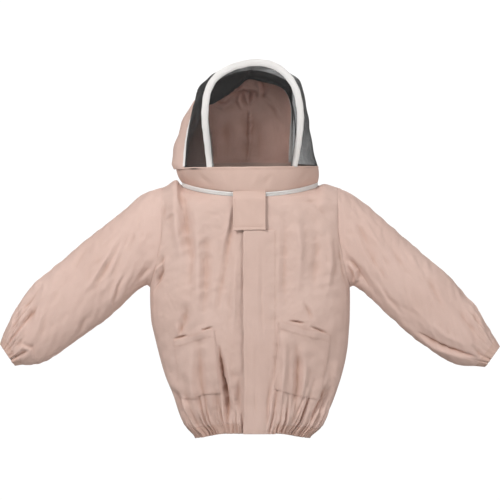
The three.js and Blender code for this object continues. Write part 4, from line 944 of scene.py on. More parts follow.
# ---- pockets
def pocket(name, corners, node, seed, bulge):
    tl, tr, br, bl = [np.array(c, float) for c in corners]
    u = np.linspace(0, 1, 84)[:, None]; v = np.linspace(0, 1, 110)[None, :]
    top = tl[None, None] + (tr - tl) * u[..., None]; bot = bl[None, None] + (br - bl) * u[..., None]
    xz = bot + (top - bot) * v[..., None]
    xz[..., 0] += 1.5 * np.sin(v * 9 + seed); xz[..., 1] += 1.8 * np.sin(u * 7 + seed)
    p, n = sample_front(xz[..., 0], xz[..., 1])
    K = np.exp(-(np.arange(-6, 7) / 3.0) ** 2); K /= K.sum()
    for ax in (0, 1):
        pad = np.concatenate([np.repeat(np.take(p, [0], ax), 6, ax), p, np.repeat(np.take(p, [-1], ax), 6, ax)], ax)
        p = sum(np.take(pad, np.arange(k, k + p.shape[ax]), ax) * K[k] for k in range(13))
    rim = np.minimum(np.minimum(u, 1 - u) * 5.0, np.minimum(v * 6.0, 1) + 0 * u); rim = np.clip(rim, 0, 1)
    lift = 2.4 + bulge * np.sin(rim * math.pi / 2) * (0.35 + 0.65 * v) + 3.0 * np.sin(np.pi * u) ** 0.8 * smooth(v, 0.8, 1.0)
    lift = lift + waves(xz[..., 0], xz[..., 1], 55, seed) * 1.1 * rim
    # mouth hem: a thicker turned strip
    lift = lift + 0.35 * smooth(v, 0.885, 0.90) + groove(v * 190 - 190 * 0.89, 1.4, 0.3)
    P = p + n * lift[..., None]
    ob = sheet("p_" + name, P, 1.3, np.broadcast_to(FRONTWARD, P.shape), mat=M_BODY)
    nn = normals(P, False, np.broadcast_to(FRONTWARD, P.shape))
    inset = [(P[3, 3:], nn[3, 3:]), (P[-4, 3:], nn[-4, 3:]), (P[3:-3, 3], nn[3:-3, 3]), (P[:, 97], nn[:, 97]), (P[:, 99], nn[:, 99])]
    st = stitches("s_" + name, inset, M_THREAD)
    piece(join(name, [ob, st]), "jacket", "body_cloth", node)
pocket("pocket_right_cloth", lat((174, 340.5), (215.5, 329), (221, 393.5), (180, 399)), "pocket_right", 3, 2.0)
pocket("pocket_left_cloth", lat((278.5, 321), (331.5, 335.5), (320, 401), (274, 390)), "pocket_left", 8, 2.2)

# ---- placket over the zip
def placket():
    x = np.linspace(-19.5, 75, 46)[:, None]; z = np.linspace(13, 603, 250)[None, :]
    X, Z = np.broadcast_arrays(x, z)
    p, n = sample_front(np.clip(X, 30, 75), Z)
    yb = p[..., 1]
    far = smooth(X, 20, 72)
    base = -112.9 + (X - 12) * 0.004
    Y = base * (1 - far) + (yb - 0.55) * far
    Y = Y - waves(X, Z, 90, 71) * 0.9 * (1 - far) - 0.9 * np.exp(-((X + 15) / 3.0) ** 2)
    Y = Y - fold_height(X, Z, [("v", 7, 2.4, None, lat((262, 236), (261, 300), (264, 362))), ("r", 8, 1.8, None, lat((252, 300), (253, 350), (251, 402))),
        ("v", 5, 1.8, None, lat((256, 380), (255, 405), (257, 426))), ("v", 5, 1.8, None, lat((268, 390), (267, 412), (268, 428)))])
    Y = Y + 0.8 * np.exp(-((X - 70.5) / 1.6) ** 2)
    x_edge = X + 1.1 * np.sin(Z / 95.0) * (X < 10) + waves1(Z, 120, 4) * 0.7
    P = np.stack([x_edge, Y, Z + 0 * X], -1)
    ob = sheet("pk", P, 1.6, np.broadcast_to(FRONTWARD, P.shape), mat=M_BODY)
    nn = normals(P, False, np.broadcast_to(FRONTWARD, P.shape))
    st = stitches("ps", [(P[43], nn[43]), (P[:, 4], nn[:, 4])], M_THREAD)
    piece(join("zip_cover_placket_cloth", [ob, st]), "placket", "body_cloth", "zip_cover_placket")
placket()

def patch(name, x0, x1, z0, z1, y, t, face, body, node, hooks):
    """A touch-fastener patch: fabric back with raised rows."""
    x = np.linspace(x0, x1, 40)[:, None]; z = np.linspace(z0, z1, 60)[None, :]
    X, Z = np.broadcast_arrays(x, z)
    edge = np.minimum(np.minimum(X - x0, x1 - X), np.minimum(Z - z0, z1 - Z))
    if hooks: hgt = 0.16 * np.sin(X * TAU / 1.7) * np.sin(Z * TAU / 1.7)
    else: hgt = 0.2 * waves(X, Z, 2.6, 9, 10)
    Y = y + face * (hgt - 0.3 * np.exp(-edge / 0.8))
    P = np.stack([X, Y, Z], -1)
    piece(sheet(name, P, t, np.broadcast_to(BACKWARD * face, P.shape), mat=M_TOUCH), body, "touch_fastener", node)
for k, z0, z1 in ((1, 112, 140), (2, 312, 340), (3, 552, 580)):
    patch("cover_hook_patch_%d_pile" % k, -15.6, 0.6, z0, z1, -109.75, 0.7, 1, "placket", "cover_hook_patch_%d" % k, True)
    patch("front_loop_patch_%d_pile" % k, -16, 1, z0, z1, -106.7, 0.8, -1, "jacket", "front_loop_patch_%d" % k, False)
patch("flap_loop_patch_pile", -36, 0, 611, 629, -106.8, 0.8, -1, "jacket", "flap_loop_patch", False)
patch("flap_hook_patch_pile", -35.6, -0.4, 611.3, 628.7, -111.6, 0.8, 1, "flap", "flap_hook_patch", True)

# ---- front zip: woven tapes and moulded teeth
def tape_strip(name, x0, x1, z0, z1, y, node, body="jacket"):
    x = np.linspace(x0, x1, 24)[:, None]; z = np.linspace(z0, z1, 360)[None, :]
    X, Z = np.broadcast_arrays(x, z)
    Y = y - 0.25 * np.cos((X - x0) * TAU / 3.0) - 0.12 * np.sin(Z * TAU / 2.4)
    P = np.stack([X, Y, Z], -1)
    return piece(sheet(name, P, 0.9, np.broadcast_to(FRONTWARD, P.shape), mat=M_TAPE), body, "white_tape", node)
tape_strip("front_zip_tape_right_weave", -5, 10.9, 20, 676, -100.0, "front_zip_tape_right")
tape_strip("front_zip_tape_left_weave", 13.1, 29, 20, 676, -100.0, "front_zip_tape_left")

TOOTH = np.array([[0, -1, -1], [1, -0.62, -0.8], [1, 0.62, -0.8], [0, 1, -1], [0, -1, 1], [1, -0.62, 0.8], [1, 0.62, 0.8], [0, 1, 1]], float)
TOOTH_F = [[0, 1, 2, 3], [7, 6, 5, 4], [0, 4, 5, 1], [1, 5, 6, 2], [2, 6, 7, 3], [3, 7, 4, 0]]
def teeth(name, C, A, Bd, N, reach, along, deep, cord):
    """Moulded teeth at points C: A runs along the zip, Bd across towards the other half, N out of the cloth."""
    verts, faces = [], []
    for c, a, b, n in zip(C, A, Bd, N):
        o = len(verts)
        for t in TOOTH:
            verts.append(c + b * (reach * t[0] - 0.4) + a * along * t[1] + n * deep * t[2])
        faces += [[o + i for i in f] for f in TOOTH_F]
    # bead the teeth are moulded on
    o = len(verts); m = len(C); k = 6
    for c, a, b, n in zip(C, A, Bd, N):
        for e in range(k):
            verts.append(c - b * 0.3 + b * cord * math.cos(e * TAU / k) + n * cord * math.sin(e * TAU / k))
    for i in range(m - 1):
        for e in range(k):
            p, q = o + i * k + e, o + i * k + (e + 1) % k
            faces.append([p, q, q + k, p + k])
    faces.append([o + e for e in range(k)][::-1]); faces.append([o + (m - 1) * k + e for e in range(k)])
    ob = raw_mesh(name, np.array(verts), faces)
    ob.data.materials.append(M_TEETH)
    ob.data.polygons.foreach_set("use_smooth", [False] * len(ob.data.polygons))
    return ob
for s, nm in ((-1, "right"), (1, "left")):
    z = np.arange(40 + (1.6 if s > 0 else 0), 671, 3.2)
    C = np.stack([0 * z + 12 + s * 3.4, 0 * z - 103.4, z], -1)
    one = np.ones((len(z), 1))
    piece(teeth("front_zip_teeth_%s_row" % nm, C, one * [0, 0, 1.0], one * [-s, 0, 0.0], one * [0, -1.0, 0], 4.4, 0.85, 1.3, 1.1), "jacket", "zip_teeth", "front_zip_teeth_" + nm)

# ---- neck zip round the ring
def neck_round(n):
    """Stations round the neck ring from one side of the front gap to the other, with tangent and outward directions."""
    a = np.linspace(0, TAU, 4001) - math.pi / 2
    c, s = np.cos(a), np.sin(a)
    x = NHALF * np.sign(c) * np.abs(c) ** (2 / 2.3)
    w = np.where(s < 0, -np.sqrt(NR ** 2 - x * x), NSIDE + (NBACK - NSIDE) * np.abs(s) ** (2 / 2.3))
    L = np.concatenate([[0], np.cumsum(np.hypot(np.diff(x), np.diff(w)))])
    q = np.linspace(5, L[-1] - 5, n)
    x, w, x1, w1, x0, w0 = (np.interp(k, L, v) for k, v in ((q, x), (q, w), (q + 3, x), (q + 3, w), (q - 3, x), (q - 3, w)))
    t = norm(np.stack([x1 - x0, w1 - w0], -1))
    P = NC + x[:, None] * np.array([1.0, 0, 0]) + w[:, None] * E2
    out = t[:, 1:2] * np.array([1.0, 0, 0]) - t[:, 0:1] * E2
    return P, t[:, 0:1] * np.array([1.0, 0, 0]) + t[:, 1:2] * E2, out
NP_, NT_, NO_ = neck_round(420)
NB_ = np.broadcast_to(NN, NP_.shape)
for sg, nm, body, lo, hi in ((-1, "lower", "jacket", -12, -1.3), (1, "upper", "hood", 1.3, 12)):
    # the neck tapes take the whiter tape copy: painted light against the band's shade
    ob = ribbon("neck_zip_tape_%s_weave" % nm, NP_ - NO_ * 1.9, NB_, NO_, 0, 0.9, M_NECKTAPE_LIT, puff=0.35, ncross=9, lo=lo, hi=hi)
    piece(ob, body, "white_tape", "neck_zip_tape_" + nm)
P2, T2, O2 = neck_round(396)
for sg, nm, body in ((-1, "lower", "jacket"), (1, "upper", "hood")):
    sel = slice(0 if sg < 0 else 0, None)
    sh = T2 * (0.75 if sg > 0 else -0.75)
    ob = teeth("neck_zip_teeth_%s_row" % nm, P2 + sh - O2 * 0.5 + sg * NN * 3.6, T2, np.broadcast_to(-sg * NN, P2.shape), O2, 4.4, 0.72, 1.3, 1.1)
    piece(ob, body, "zip_teeth", "neck_zip_teeth_" + nm)

# ---- hood
BT_X, BT_A, BT_F, BT_B = -9.0, 206.0, -117.0, 102.0
def band_top(q):
    c, s = np.cos(q), np.sin(q)
    x = BT_X + BT_A * np.sign(c) * np.abs(c) ** (2 / 2.3)
    k = np.sign(s) * np.abs(s) ** (2 / 2.3)
    y = np.where(s < 0, (BT_F + BT_B) / 2 + (BT_F - BT_B) / 2 * np.abs(k), (BT_F + BT_B) / 2 + (BT_B - BT_F) / 2 * np.abs(k))
    zf = 786.3 + 0.011 * x
    z = np.where(s < 0, zf, zf + (800 - zf) * np.abs(s) ** 1.2)
    return np.stack([x, y, z], -1)
def neck_q(q, n):
    c, s = np.cos(q), np.sin(q)
    x = NHALF * np.sign(c) * np.abs(c) ** (2 / 2.3)
    w = np.where(s < 0, -np.sqrt(NR ** 2 - x * x), NSIDE + (NBACK - NSIDE) * np.abs(s) ** (2 / 2.3))
    return NC + x[:, None] * np.array([1.0, 0, 0]) + w[:, None] * E2 + n * NN
qb = np.linspace(0, TAU, 480, endpoint=False)
A0, A1 = neck_q(qb, 6.5), band_top(qb)
vb = np.linspace(0, 1, 34)[None, :, None]
BAND = A0[:, None] + (A1 - A0)[:, None] * vb
cenb = np.array([-4, -8, 750.0])
nb = normals(BAND, True, (BAND - cenb) * np.array([1, 1, 0]))
Xb, Zb = BAND[..., 0], BAND[..., 2]
hb = 3.0 * np.sin(np.pi * vb[..., 0]) ** 0.8 + waves(np.cos(qb)[:, None] * 200 + 0 * Zb, np.sin(qb)[:, None] * 200 + Zb * 0.8, 90, 81) * 1.6 * np.sin(np.pi * vb[..., 0]) ** 0.5
fr = smooth(-nb[..., 1], 0.0, 0.4)
hb = hb + fr * fold_height(Xb, Zb, [("v", 7, 2.2, None, lat((196, 170), (203, 178), (213, 185))), ("v", 9, 2.6, None, lat((272, 174), (267, 180), (262, 187))),
    ("r", 9, 2.0, None, lat((258, 171), (256, 180), (250, 188))), ("v", 12, 2.0, None, lat((232, 170), (234, 180), (236, 189))),
    ("v", 6, 2.0, None, lat((180, 170), (184, 178), (190, 184))), ("v", 8, 2.2, None, lat((312, 168), (304, 175), (298, 183))),
    ("r", 8, 1.8, None, lat((222, 172), (224, 180), (227, 188)))])
hb = hb + 0.7 * smooth(vb[..., 0], 0.86, 0.89) + groove(vb[..., 0] * 80 - 80 * 0.875, 1.2, 0.7)
hb = hb - 0.8 * np.exp(-(vb[..., 0] * 80 / 3.0) ** 2)
BAND = BAND + nb * hb[..., None]
ob = sheet("band", BAND, 1.8, nb, wrap=True, mat=M_HOOD)
nb = normals(BAND, True, nb)
st = stitches("bs", [(BAND[:, 31], nb[:, 31]), (BAND[:, 2], nb[:, 2])], M_THREAD)
piece(join("neck_band_cloth", [ob, st]), "hood", "body_cloth", "neck_band")

def hoop(points, n):
    p = np.array(points, float); p = np.vstack([2 * p[0] - p[1], p, 2 * p[-1] - p[-2]])
    out = []
    for i in range(1, len(p) - 2):
        p0, p1, p2, p3 = p[i - 1:i + 3]
        d0, d1, d2 = (math.sqrt(np.linalg.norm(b - a)) for a, b in ((p0, p1), (p1, p2), (p2, p3)))
        t1 = ((p1 - p0) / d0 - (p2 - p0) / (d0 + d1) + (p2 - p1) / d1) * d1
        t2 = ((p2 - p1) / d1 - (p3 - p1) / (d1 + d2) + (p3 - p2) / d2) * d1
        t = np.linspace(0, 1, 16, endpoint=False)[:, None]
        out.append((2 * t ** 3 - 3 * t ** 2 + 1) * p1 + (t ** 3 - 2 * t ** 2 + t) * t1 + (-2 * t ** 3 + 3 * t ** 2) * p2 + (t ** 3 - t ** 2) * t2)
    out.append(p[-2:-1])
    c = np.concatenate(out)
    L = np.concatenate([[0], np.cumsum(np.linalg.norm(np.diff(c, axis=0), axis=1))])
    q = np.linspace(0, L[-1], n)
    return np.stack([np.interp(q, L, c[:, k]) for k in range(3)], -1)
FRONT_HOOP = [(-114, -92, 780), (-122, -101, 850), (-130, -108, 925), (-128, -108, 970), (-121, -105, 1006), (-101, -99, 1041), (-60, -92, 1069), (-15, -88, 1083),
    (25, -87, 1087), (70, -89, 1077), (108, -95, 1049), (132, -103, 1010), (142, -107, 970), (146, -108, 925), (138, -102, 850), (127, -92, 787)]
REAR_HOOP = [(-190, 15, 804), (-187, 20, 860), (-179, 28, 910), (-162, 42, 962), (-136, 54, 1000), (-102, 65, 1028), (-58, 75, 1044), (-10, 81, 1050),
    (40, 84, 1048), (80, 86, 1032), (108, 86, 1005), (124, 84, 965), (131, 80, 915), (134, 76, 860), (137, 70, 804)]
MIDDLE = [(-155, -86, 788), (-160, -74, 850), (-160, -62, 900), (-156, -50, 950), (-150, -38, 990), (-144, -26, 1018), (-118, -14, 1046), (-82, -8, 1064), (-40, -4, 1077), (0, -2, 1083),
    (45, -2, 1082), (85, -4, 1071), (116, -6, 1057), (141, -8, 1042), (152, -8, 1015), (160, -8, 986), (167, -8, 940), (174, -10, 893), (181, -12, 847), (189, -14, 812), (194, -16, 801)]
SEAM = [(-189, -64, 786), (-187, -44, 830), (-182, -16, 875), (-173, 10, 925), (-162, 30, 962), (-150, 42, 984), (-136, 52, 982), (-116, 62, 972), (-87, 72, 986), (-53, 78, 1007), (-28, 81, 1028), (-8, 83, 1045),
    (14, 84, 1044), (35, 85, 1038), (75, 87, 1029), (101, 88, 1014), (118, 86, 977), (123, 83, 935), (121, 79, 903), (119, 75, 860), (117, 71, 800)]
NH = 180
REAR_TAPE = [(-189, -64, 786), (-187, -44, 830), (-182, -16, 875), (-173, 12, 925), (-160, 36, 969), (-147, 50, 1000)] + REAR_HOOP[5:10] + [(104, 88, 1008), (118, 86, 977), (123, 83, 935), (121, 79, 903), (119, 75, 860), (117, 71, 800)]
HF, HR, HM, HS = hoop(FRONT_HOOP, NH), hoop(REAR_TAPE, NH), hoop(MIDDLE, NH), hoop(SEAM, NH)
def ring_y(x):
    """Depth of the band's upper edge on the front, at x."""
    k = (1 - np.minimum(1, np.abs((x - BT_X) / BT_A)) ** 2.3) ** (1 / 2.3)
    return (BT_F + BT_B) / 2 + (BT_F - BT_B) / 2 * k
# near its feet the casing leans forward to meet the inside of the band
foot = (1 - smooth(HF[:, 2], 788, 822)) * (HF[:, 0] < 0)
HW = HF.copy()
HF = HF.copy(); HF[:, 1] += (ring_y(HF[:, 0]) + 4.6 - HF[:, 1]) * foot
def frame_of(C, forward=np.array([0, -1.0, 0])):
    T = norm(np.gradient(C, axis=0)); n = norm(np.cross(T, forward)); b = norm(np.cross(n, T))
    b = b * np.sign(-b[:, 1:2]); 
    cen = C.mean(0); n = n * np.sign(((C - cen) * n).sum(-1, keepdims=True) + 1e-9)
    return T, n, b
def casing(name, C, width, deep, off, mat, flat=1.0, m=28):
    """Flat folded tape wrapped round a hoop: a lens-shaped tube, hollow."""
    T, n, b = frame_of(C)
    a = np.linspace(0, TAU, m, endpoint=False)
    wv = np.cos(a)[:, None] * np.asarray(width) / 2
    hv = np.sign(np.sin(a))[:, None] * (np.abs(np.sin(a)) ** 1.3)[:, None] * np.asarray(deep) / 2
    wob = 0.35 * np.sin(np.arange(len(C)) * 0.7)[None, :] * np.cos(a)[:, None]
    P = C[None] + n[None] * (wv + wob)[..., None] + b[None] * (hv + off)[..., None]
    return sheet(name, P, 0.6, P - (C + b * off)[None], wrap=True, mat=mat), n, b, T
dp = 7.6 - 2.2 * foot
ob, n_, b_, t_ = casing("ft", HF, 20.5, dp, 0.6, M_TAPE)
lines = [(HF + n_ * k + b_ * (0.6 + dp[:, None] / 2 * (1 - (abs(k) / 10.25) ** 2) ** 0.65), b_ + n_ * (k / 30)) for k in (8.3, -8.3)]
st = stitches("fts", lines, M_THREADW, lift=0.12)
piece(join("front_hoop_tape_casing", [ob, st]), "face", "white_tape", "front_hoop_tape")
tt = np.linspace(0, 1, NH)
wr = 3.0 + 8.0 * (1 - smooth(tt, 0.0, 0.30)) ** 0.7 + 8.0 * smooth(tt, 0.62, 1.0)
mixr = smooth(tt, 0.62, 0.8)[:, None]
ob, n_, b_, t_ = casing("rt", HR + np.array([0, 1.0, 0]), np.maximum(wr, 4.6), np.full(NH, 4.6), 0.0, M_TAPE)
piece(ob, "hood", "white_tape", "rear_hoop_tape"); ob.name = "rear_hoop_tape_casing"

def net(name, P, out, mat=None):
    return sheet(name, P, 0.5, out, mat=mat or M_VEIL)
# face veil
def ring_q(x, y):
    q = np.linspace(0, TAU, 2880, endpoint=False); p = band_top(q)
    return q[np.argmin((p[:, 0] - x) ** 2 + (p[:, 1] - y) ** 2)]
qFL, qFR, qRL, qRR = ring_q(-115, -104), ring_q(128, -102), ring_q(-190, -66), ring_q(118, 78)
up = lambda a, b: b if b > a else b + TAU
tf = np.linspace(0, 1, 110)
HFv = np.stack([np.interp(tf, np.linspace(0, 1, NH), HF[:, k]) for k in range(3)], -1)
A = band_top(qFL + (up(qFL, qFR) - qFL) * tf) + np.array([0, 5.4, -6.0])
cen = np.stack([np.full(110, 6.0), HFv[:, 1], np.clip(HFv[:, 2], 815, 940)], -1)
Eg = HFv + norm(cen - HFv) * 7.5
sv = np.linspace(0, 1, 70)[None, :, None]
FACE = A[:, None] * (1 - sv) + Eg[:, None] * sv
kk = np.sin(np.pi * tf)[:, None] ** 0.8 * np.sin(np.pi * sv[..., 0]) ** 1.4
FACE[..., 1] -= 33 * kk
FACE = FACE + (waves(FACE[..., 0], FACE[..., 2], 90, 91) * 2.5 * kk)[..., None] * FRONTWARD
face = net("face_mesh_net", FACE, np.broadcast_to(FRONTWARD, FACE.shape))
bend(face, "hood", "face", (0, -104, 788), (0, -104, 858), "mesh", "face_mesh")
# gusset between the hoops
ts = np.linspace(0, 1, 150)
rs_ = lambda H: np.stack([np.interp(ts, np.linspace(0, 1, NH), H[:, k]) for k in range(3)], -1)
f_, m_, r_ = rs_(HF), rs_(HM), rs_(HS)
f_ = f_ + np.array([0, 2.5, 0])
knots = np.stack([f_, (f_ + m_) / 2 + norm(((f_ + m_) / 2 - np.array([0, 0, 900])) * np.array([1, 0, 1])) * 3.0, m_, (m_ + r_) / 2 + norm(((m_ + r_) / 2 - np.array([0, 0, 900])) * np.array([1, 0, 1])) * 5.0, r_], 0)
SIDE = catmull(knots, 12).swapaxes(0, 1)  # (t, s, 3)
# feet follow the band's upper edge
sq = np.linspace(0, 1, SIDE.shape[1])
footL = band_top(qFL + ((qRL if qRL < qFL else qRL - TAU) - qFL) * sq) + np.array([0, 0, -5.0])
footR = band_top(qFR + ((qRR if qRR > qFR - math.pi else qRR + TAU) - qFR) * sq) + np.array([0, 0, -5.0])
if abs((qRR - qFR)) > math.pi: footR = band_top(qFR + ((qRR + TAU) - qFR) * sq) + np.array([0, 0, -5.0])
wl = np.maximum(0, 1 - ts / 0.11)[:, None, None] ** 1.4; wrr = np.maximum(0, 1 - (1 - ts) / 0.11)[:, None, None] ** 1.4
SIDE = SIDE * (1 - wl) + footL[None] * wl
SIDE = SIDE * (1 - wrr) + footR[None] * wrr
SIDE = SIDE + (waves(np.arange(150)[:, None] * 6.0, sq[None] * 120, 70, 92) * 2.2 * np.sin(np.pi * sq[None]))[..., None] * norm((SIDE - np.array([0, 0, 900])) * np.array([1, 0, 1]))
side = net("side_mesh_net", SIDE, (SIDE - np.array([0, 0, 880])) * np.array([1, 0, 1]), M_VEIL_SIDE)
bend(side, "hood", "face", (0, 40, 930), (0, -88, 930), "mesh", "side_mesh")

tg = np.linspace(0.345, 0.86, 120)
lowc = np.stack([np.interp(tg, np.linspace(0, 1, NH), HS[:, k]) for k in range(3)], -1)
peak = lowc + np.array([0, -16.0, 0.0]); peak[:, 2] = 1068 - 0.0030 * (lowc[:, 0] - 6) ** 2
sg_ = np.linspace(0, 1, 20)[None, :, None]
FOLD = (lowc + np.array([0, -3.0, -4]))[:, None] * (1 - sg_) + peak[:, None] * sg_
FOLD[..., 1] += waves(FOLD[..., 0], FOLD[..., 2], 30, 97) * 2.0
piece(net("hood_net_fold", FOLD, np.broadcast_to(FRONTWARD, FOLD.shape), M_VEIL_FOLD), "hood", "mesh")

# cloth back of the hood: level arcs from the rear hoop's left side round to its right side
na, nh = 150, 130
hh = np.linspace(0, 1, nh); aa = np.linspace(0, 1, na)
crown = 0.5
def seam_at(t): return np.stack([np.interp(t, np.linspace(0, 1, NH), HS[:, k]) for k in range(3)], -1)
crown = float(np.argmax(HS[:, 2])) / (NH - 1)
Lh, Rh = seam_at(crown * hh), seam_at(1 - (1 - crown) * hh)
qa = qRL + ((qRR - qRL) if qRR < qRL else (qRR - TAU - qRL)) * aa
ring = band_top(qa) + np.array([0, 0, -5.0])
chord0 = Lh[0] + (Rh[0] - Lh[0]) * aa[:, None]
O = ring - chord0
chord = Lh[None] + (Rh - Lh)[None] * aa[:, None, None]
g = np.interp(hh, [0, 0.15, 0.3, 0.5, 0.75, 0.92, 1], [1, 0.96, 0.86, 0.68, 0.45, 0.22, 0])
Gx = np.interp(Lh[:, 2], [786, 800, 847, 893, 940, 980, 1046], [6, 14, 14, 14, 10, 5, 0])
Gx = Gx * (1 - smooth(hh, 0.55, 0.95))
HB = chord + O[:, None] * g[None, :, None]
HB[..., 0] -= np.sin(np.pi * aa ** 0.45)[:, None] * Gx[None]
HB[..., 1] += np.sin(np.pi * aa)[:, None] * (7 * np.sin(np.pi * hh) ** 0.7)[None]
HB[..., 2] += np.sin(np.pi * aa)[:, None] * (10 * np.sin(np.pi * hh))[None]
nh_ = normals(HB, False, np.broadcast_to(BACKWARD, HB.shape))
BACK_HOOD = [
    ("v", 2.6, 9.0, None, lat((249, 108), (250.3, 118), (250, 132), (249.5, 146))), ("v", 2.6, 2.2, None, lat((249, 140), (248.5, 152), (248.5, 166))),
    ("s", 4, 6.5, 10, lat((226, 96), (234, 91), (243, 88), (252, 90), (260, 93))), ("s", 4, -6.0, 10, lat((256, 79), (261, 85), (262, 92), (259, 98))),
    ("v", 4, 6.0, None, lat((244, 90), (246, 97), (249, 105))), ("r", 4, 4.0, None, lat((250, 89), (250, 96), (251, 103))), ("v", 4, 5.0, None, lat((255, 90), (253, 97), (250, 105))),
    ("s", 5, 4.0, 12, lat((262, 92), (272, 101), (280, 112), (286, 128))), ("v", 7, 5.0, None, lat((264, 96), (276, 108), (284, 124))),
    ("v", 5, 4.0, None, lat((240, 92), (238, 100), (243, 110))), ("s", 4, 3.5, 9, lat((215, 99), (224, 101), (229, 96))), ("v", 6, 4.0, None, lat((212, 104), (222, 106), (232, 100))),
    ("r", 14, 2.2, None, lat((228, 112), (226, 135), (228, 158))), ("v", 16, 1.8, None, lat((236, 118), (237, 140), (236, 162))), ("v", 16, 1.8, None, lat((268, 120), (270, 140), (268, 162))),
    ("r", 14, 3.0, None, lat((258, 118), (259, 140), (258, 162)))]
cb = HB[..., 0]
h = fold_height(HB[..., 0], HB[..., 2], BACK_HOOD, 1.9)
fade = smooth(hh, 0.0, 0.05)[None] * (np.minimum(aa, 1 - aa) > -1)[:, None] * smooth(np.minimum(aa, 1 - aa), 0, 0.03)[:, None]
HB = HB + nh_ * ((h + waves(HB[..., 0], HB[..., 2], 80, 95) * 2.5) * fade)[..., None]
def hood_depth(x, z):
    """Depth of the inside of the hood's back at (x, z), by the nearest grid point."""
    G = HB.reshape(-1, 3); out = np.zeros(x.shape)
    G = G[(G[:, 1] > 40)]
    for i in range(x.shape[0]):
        d = (G[None, :, 0] - x[i][:, None]) ** 2 + (G[None, :, 2] - z[i][:, None]) ** 2
        out[i] = G[np.argmin(d, 1), 1]
    return out
cu = np.linspace(0, 1, 70)
topx = -88 + 160 * cu
topz = np.interp(topx, [-88, -53, -28, -8, 14, 35, 75], [984, 1005, 1027, 1043, 1042, 1036, 1027])
botz = np.interp(topx, [-88, -68, -32, 2, 24, 36, 52, 72], [978, 1000, 1010, 1014, 1010, 992, 1004, 1022])
botx = topx + np.interp(topx, [-88, 0, 75], [2, 0, -14])
cv = np.linspace(0, 1, 26)[None, :]
CX_ = botx[:, None] * (1 - cv) + topx[:, None] * cv; CZ_ = botz[:, None] * (1 - cv) + topz[:, None] * cv
CY_ = hood_depth(CX_, CZ_) - 3.5 - 13 * (1 - cv) ** 0.8 * np.sin(np.pi * cu)[:, None] ** 0.5 + waves(CX_, CZ_, 34, 99) * 1.6
CROWN = np.stack([CX_, CY_, CZ_], -1)
# the crown fold takes the lighter copy of the hood cloth: painted light on the shaded inside
piece(sheet("hood_crown_fold", CROWN, 1.2, np.broadcast_to(FRONTWARD, CROWN.shape), mat=M_HOODIN_LIT), "hood", "body_cloth")
HB = finer(HB, 2, 2)
mid = int(HB.shape[0] * 0.53)
# the two halves meet at the centre seam
xm = HB[:, :, 0]
HL, HRt = walk(HB, None, -3.0), walk(HB, -3.0, None)
# the inner faces of the hood back take the lighter copy of the hood cloth: painted light on the shaded inside
piece(sheet("hood_back_right_cloth", HL, T_CLOTH, np.broadcast_to(BACKWARD, HL.shape), mat=M_HOODBACK, mat_in=M_HOODIN_LIT), "hood", "body_cloth", "hood_back_right")
piece(sheet("hood_back_left_cloth", HRt, T_CLOTH, np.broadcast_to(BACKWARD, HRt.shape), mat=M_HOODBACK, mat_in=M_HOODIN_LIT), "hood", "body_cloth", "hood_back_left")

# ---- neck flap
def band_line(z):
    """Depth of the band's outer face at a height, along x, on the front."""
    xs, ys = [], []
    for col in BAND:
        if col[0, 1] < -60 and abs(col[0, 0]) < 90:
            xs.append(np.interp(z, col[:, 2], col[:, 0])); ys.append(np.interp(z, col[:, 2], col[:, 1]))
    o = np.argsort(xs)
    return np.array(xs)[o], np.array(ys)[o]
def flap():
    x = np.linspace(-49, 45, 60)[:, None]; z = np.linspace(603, 716, 70)[None, :]
    X, Z = np.broadcast_arrays(x, z)
    top = smooth(Z, 690, 716)
    yb = np.interp(X[:, 0], *[v for v in band_line(716)]) - 1.2
    Y = -114.9 * (1 - top) + yb[:, None] * top
    Y = Y - waves(X, Z, 60, 61) * 0.8 - 0.8 * np.exp(-((X + 47) / 3.0) ** 2) - 0.6 * np.exp(-((X - 43) / 3.0) ** 2) - 0.9 * np.exp(-((Z - 604) / 3.5) ** 2)
    Y = Y - fold_height(X, Z, [("v", 8, 1.0, None, lat((235, 202), (240, 212), (243, 224))), ("r", 10, 0.9, None, lat((250, 198), (254, 210), (256, 224)))])
    Y = Y + 0.7 * np.exp(-((Z - 613) / 1.3) ** 2)
    P = np.stack([X + 1.5 * (716 - Z) / 113 * (X < 0) * 0 , Y, Z + 0.02 * X], -1)
    ob = sheet("fl", P, 1.7, np.broadcast_to(FRONTWARD, P.shape), mat=M_HOOD)
    nn = normals(P, False, np.broadcast_to(FRONTWARD, P.shape))
    j1, j2 = 6, 9
    st = stitches("fs", [(P[3:-3, j1], nn[3:-3, j1]), (P[3:-3, j2], nn[3:-3, j2]), (P[3, 6:], nn[3, 6:]), (P[-4, 6:], nn[-4, 6:])], M_THREAD)
    piece(join("neck_flap_cloth", [ob, st]), "flap", "body_cloth", "neck_flap")
flap()

# ---- hanging loop at the back of the neck
def loop():
    pts = []
    for k in np.linspace(0, 1, 80):
        a = math.pi * k
        pts.append((-26 * math.cos(a) if 0.02 < k < 0.98 else (-26 if k < 0.5 else 26), 73, 732 - 16 * math.sin(a) ** 0.45))
    C = np.array(pts); T = norm(np.gradient(C, axis=0)); N = np.broadcast_to(np.array([0, -1.0, 0]), C.shape); W = norm(np.cross(T, N))
    return ribbon("hanger_loop_tape", C, W, N, 3.6, 1.2, M_TAPE, puff=0.3, ncross=7)
piece(loop(), "jacket", "white_tape", "hanger_loop")

# ---- hard parts kept from the frame get their finish
for nm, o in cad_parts.items():
    if o.hide_render: continue
    m = M_WIRE if "wire" in nm else M_TEETH if "box" in nm else M_METAL
    o.data.materials.clear(); o.data.materials.append(m)

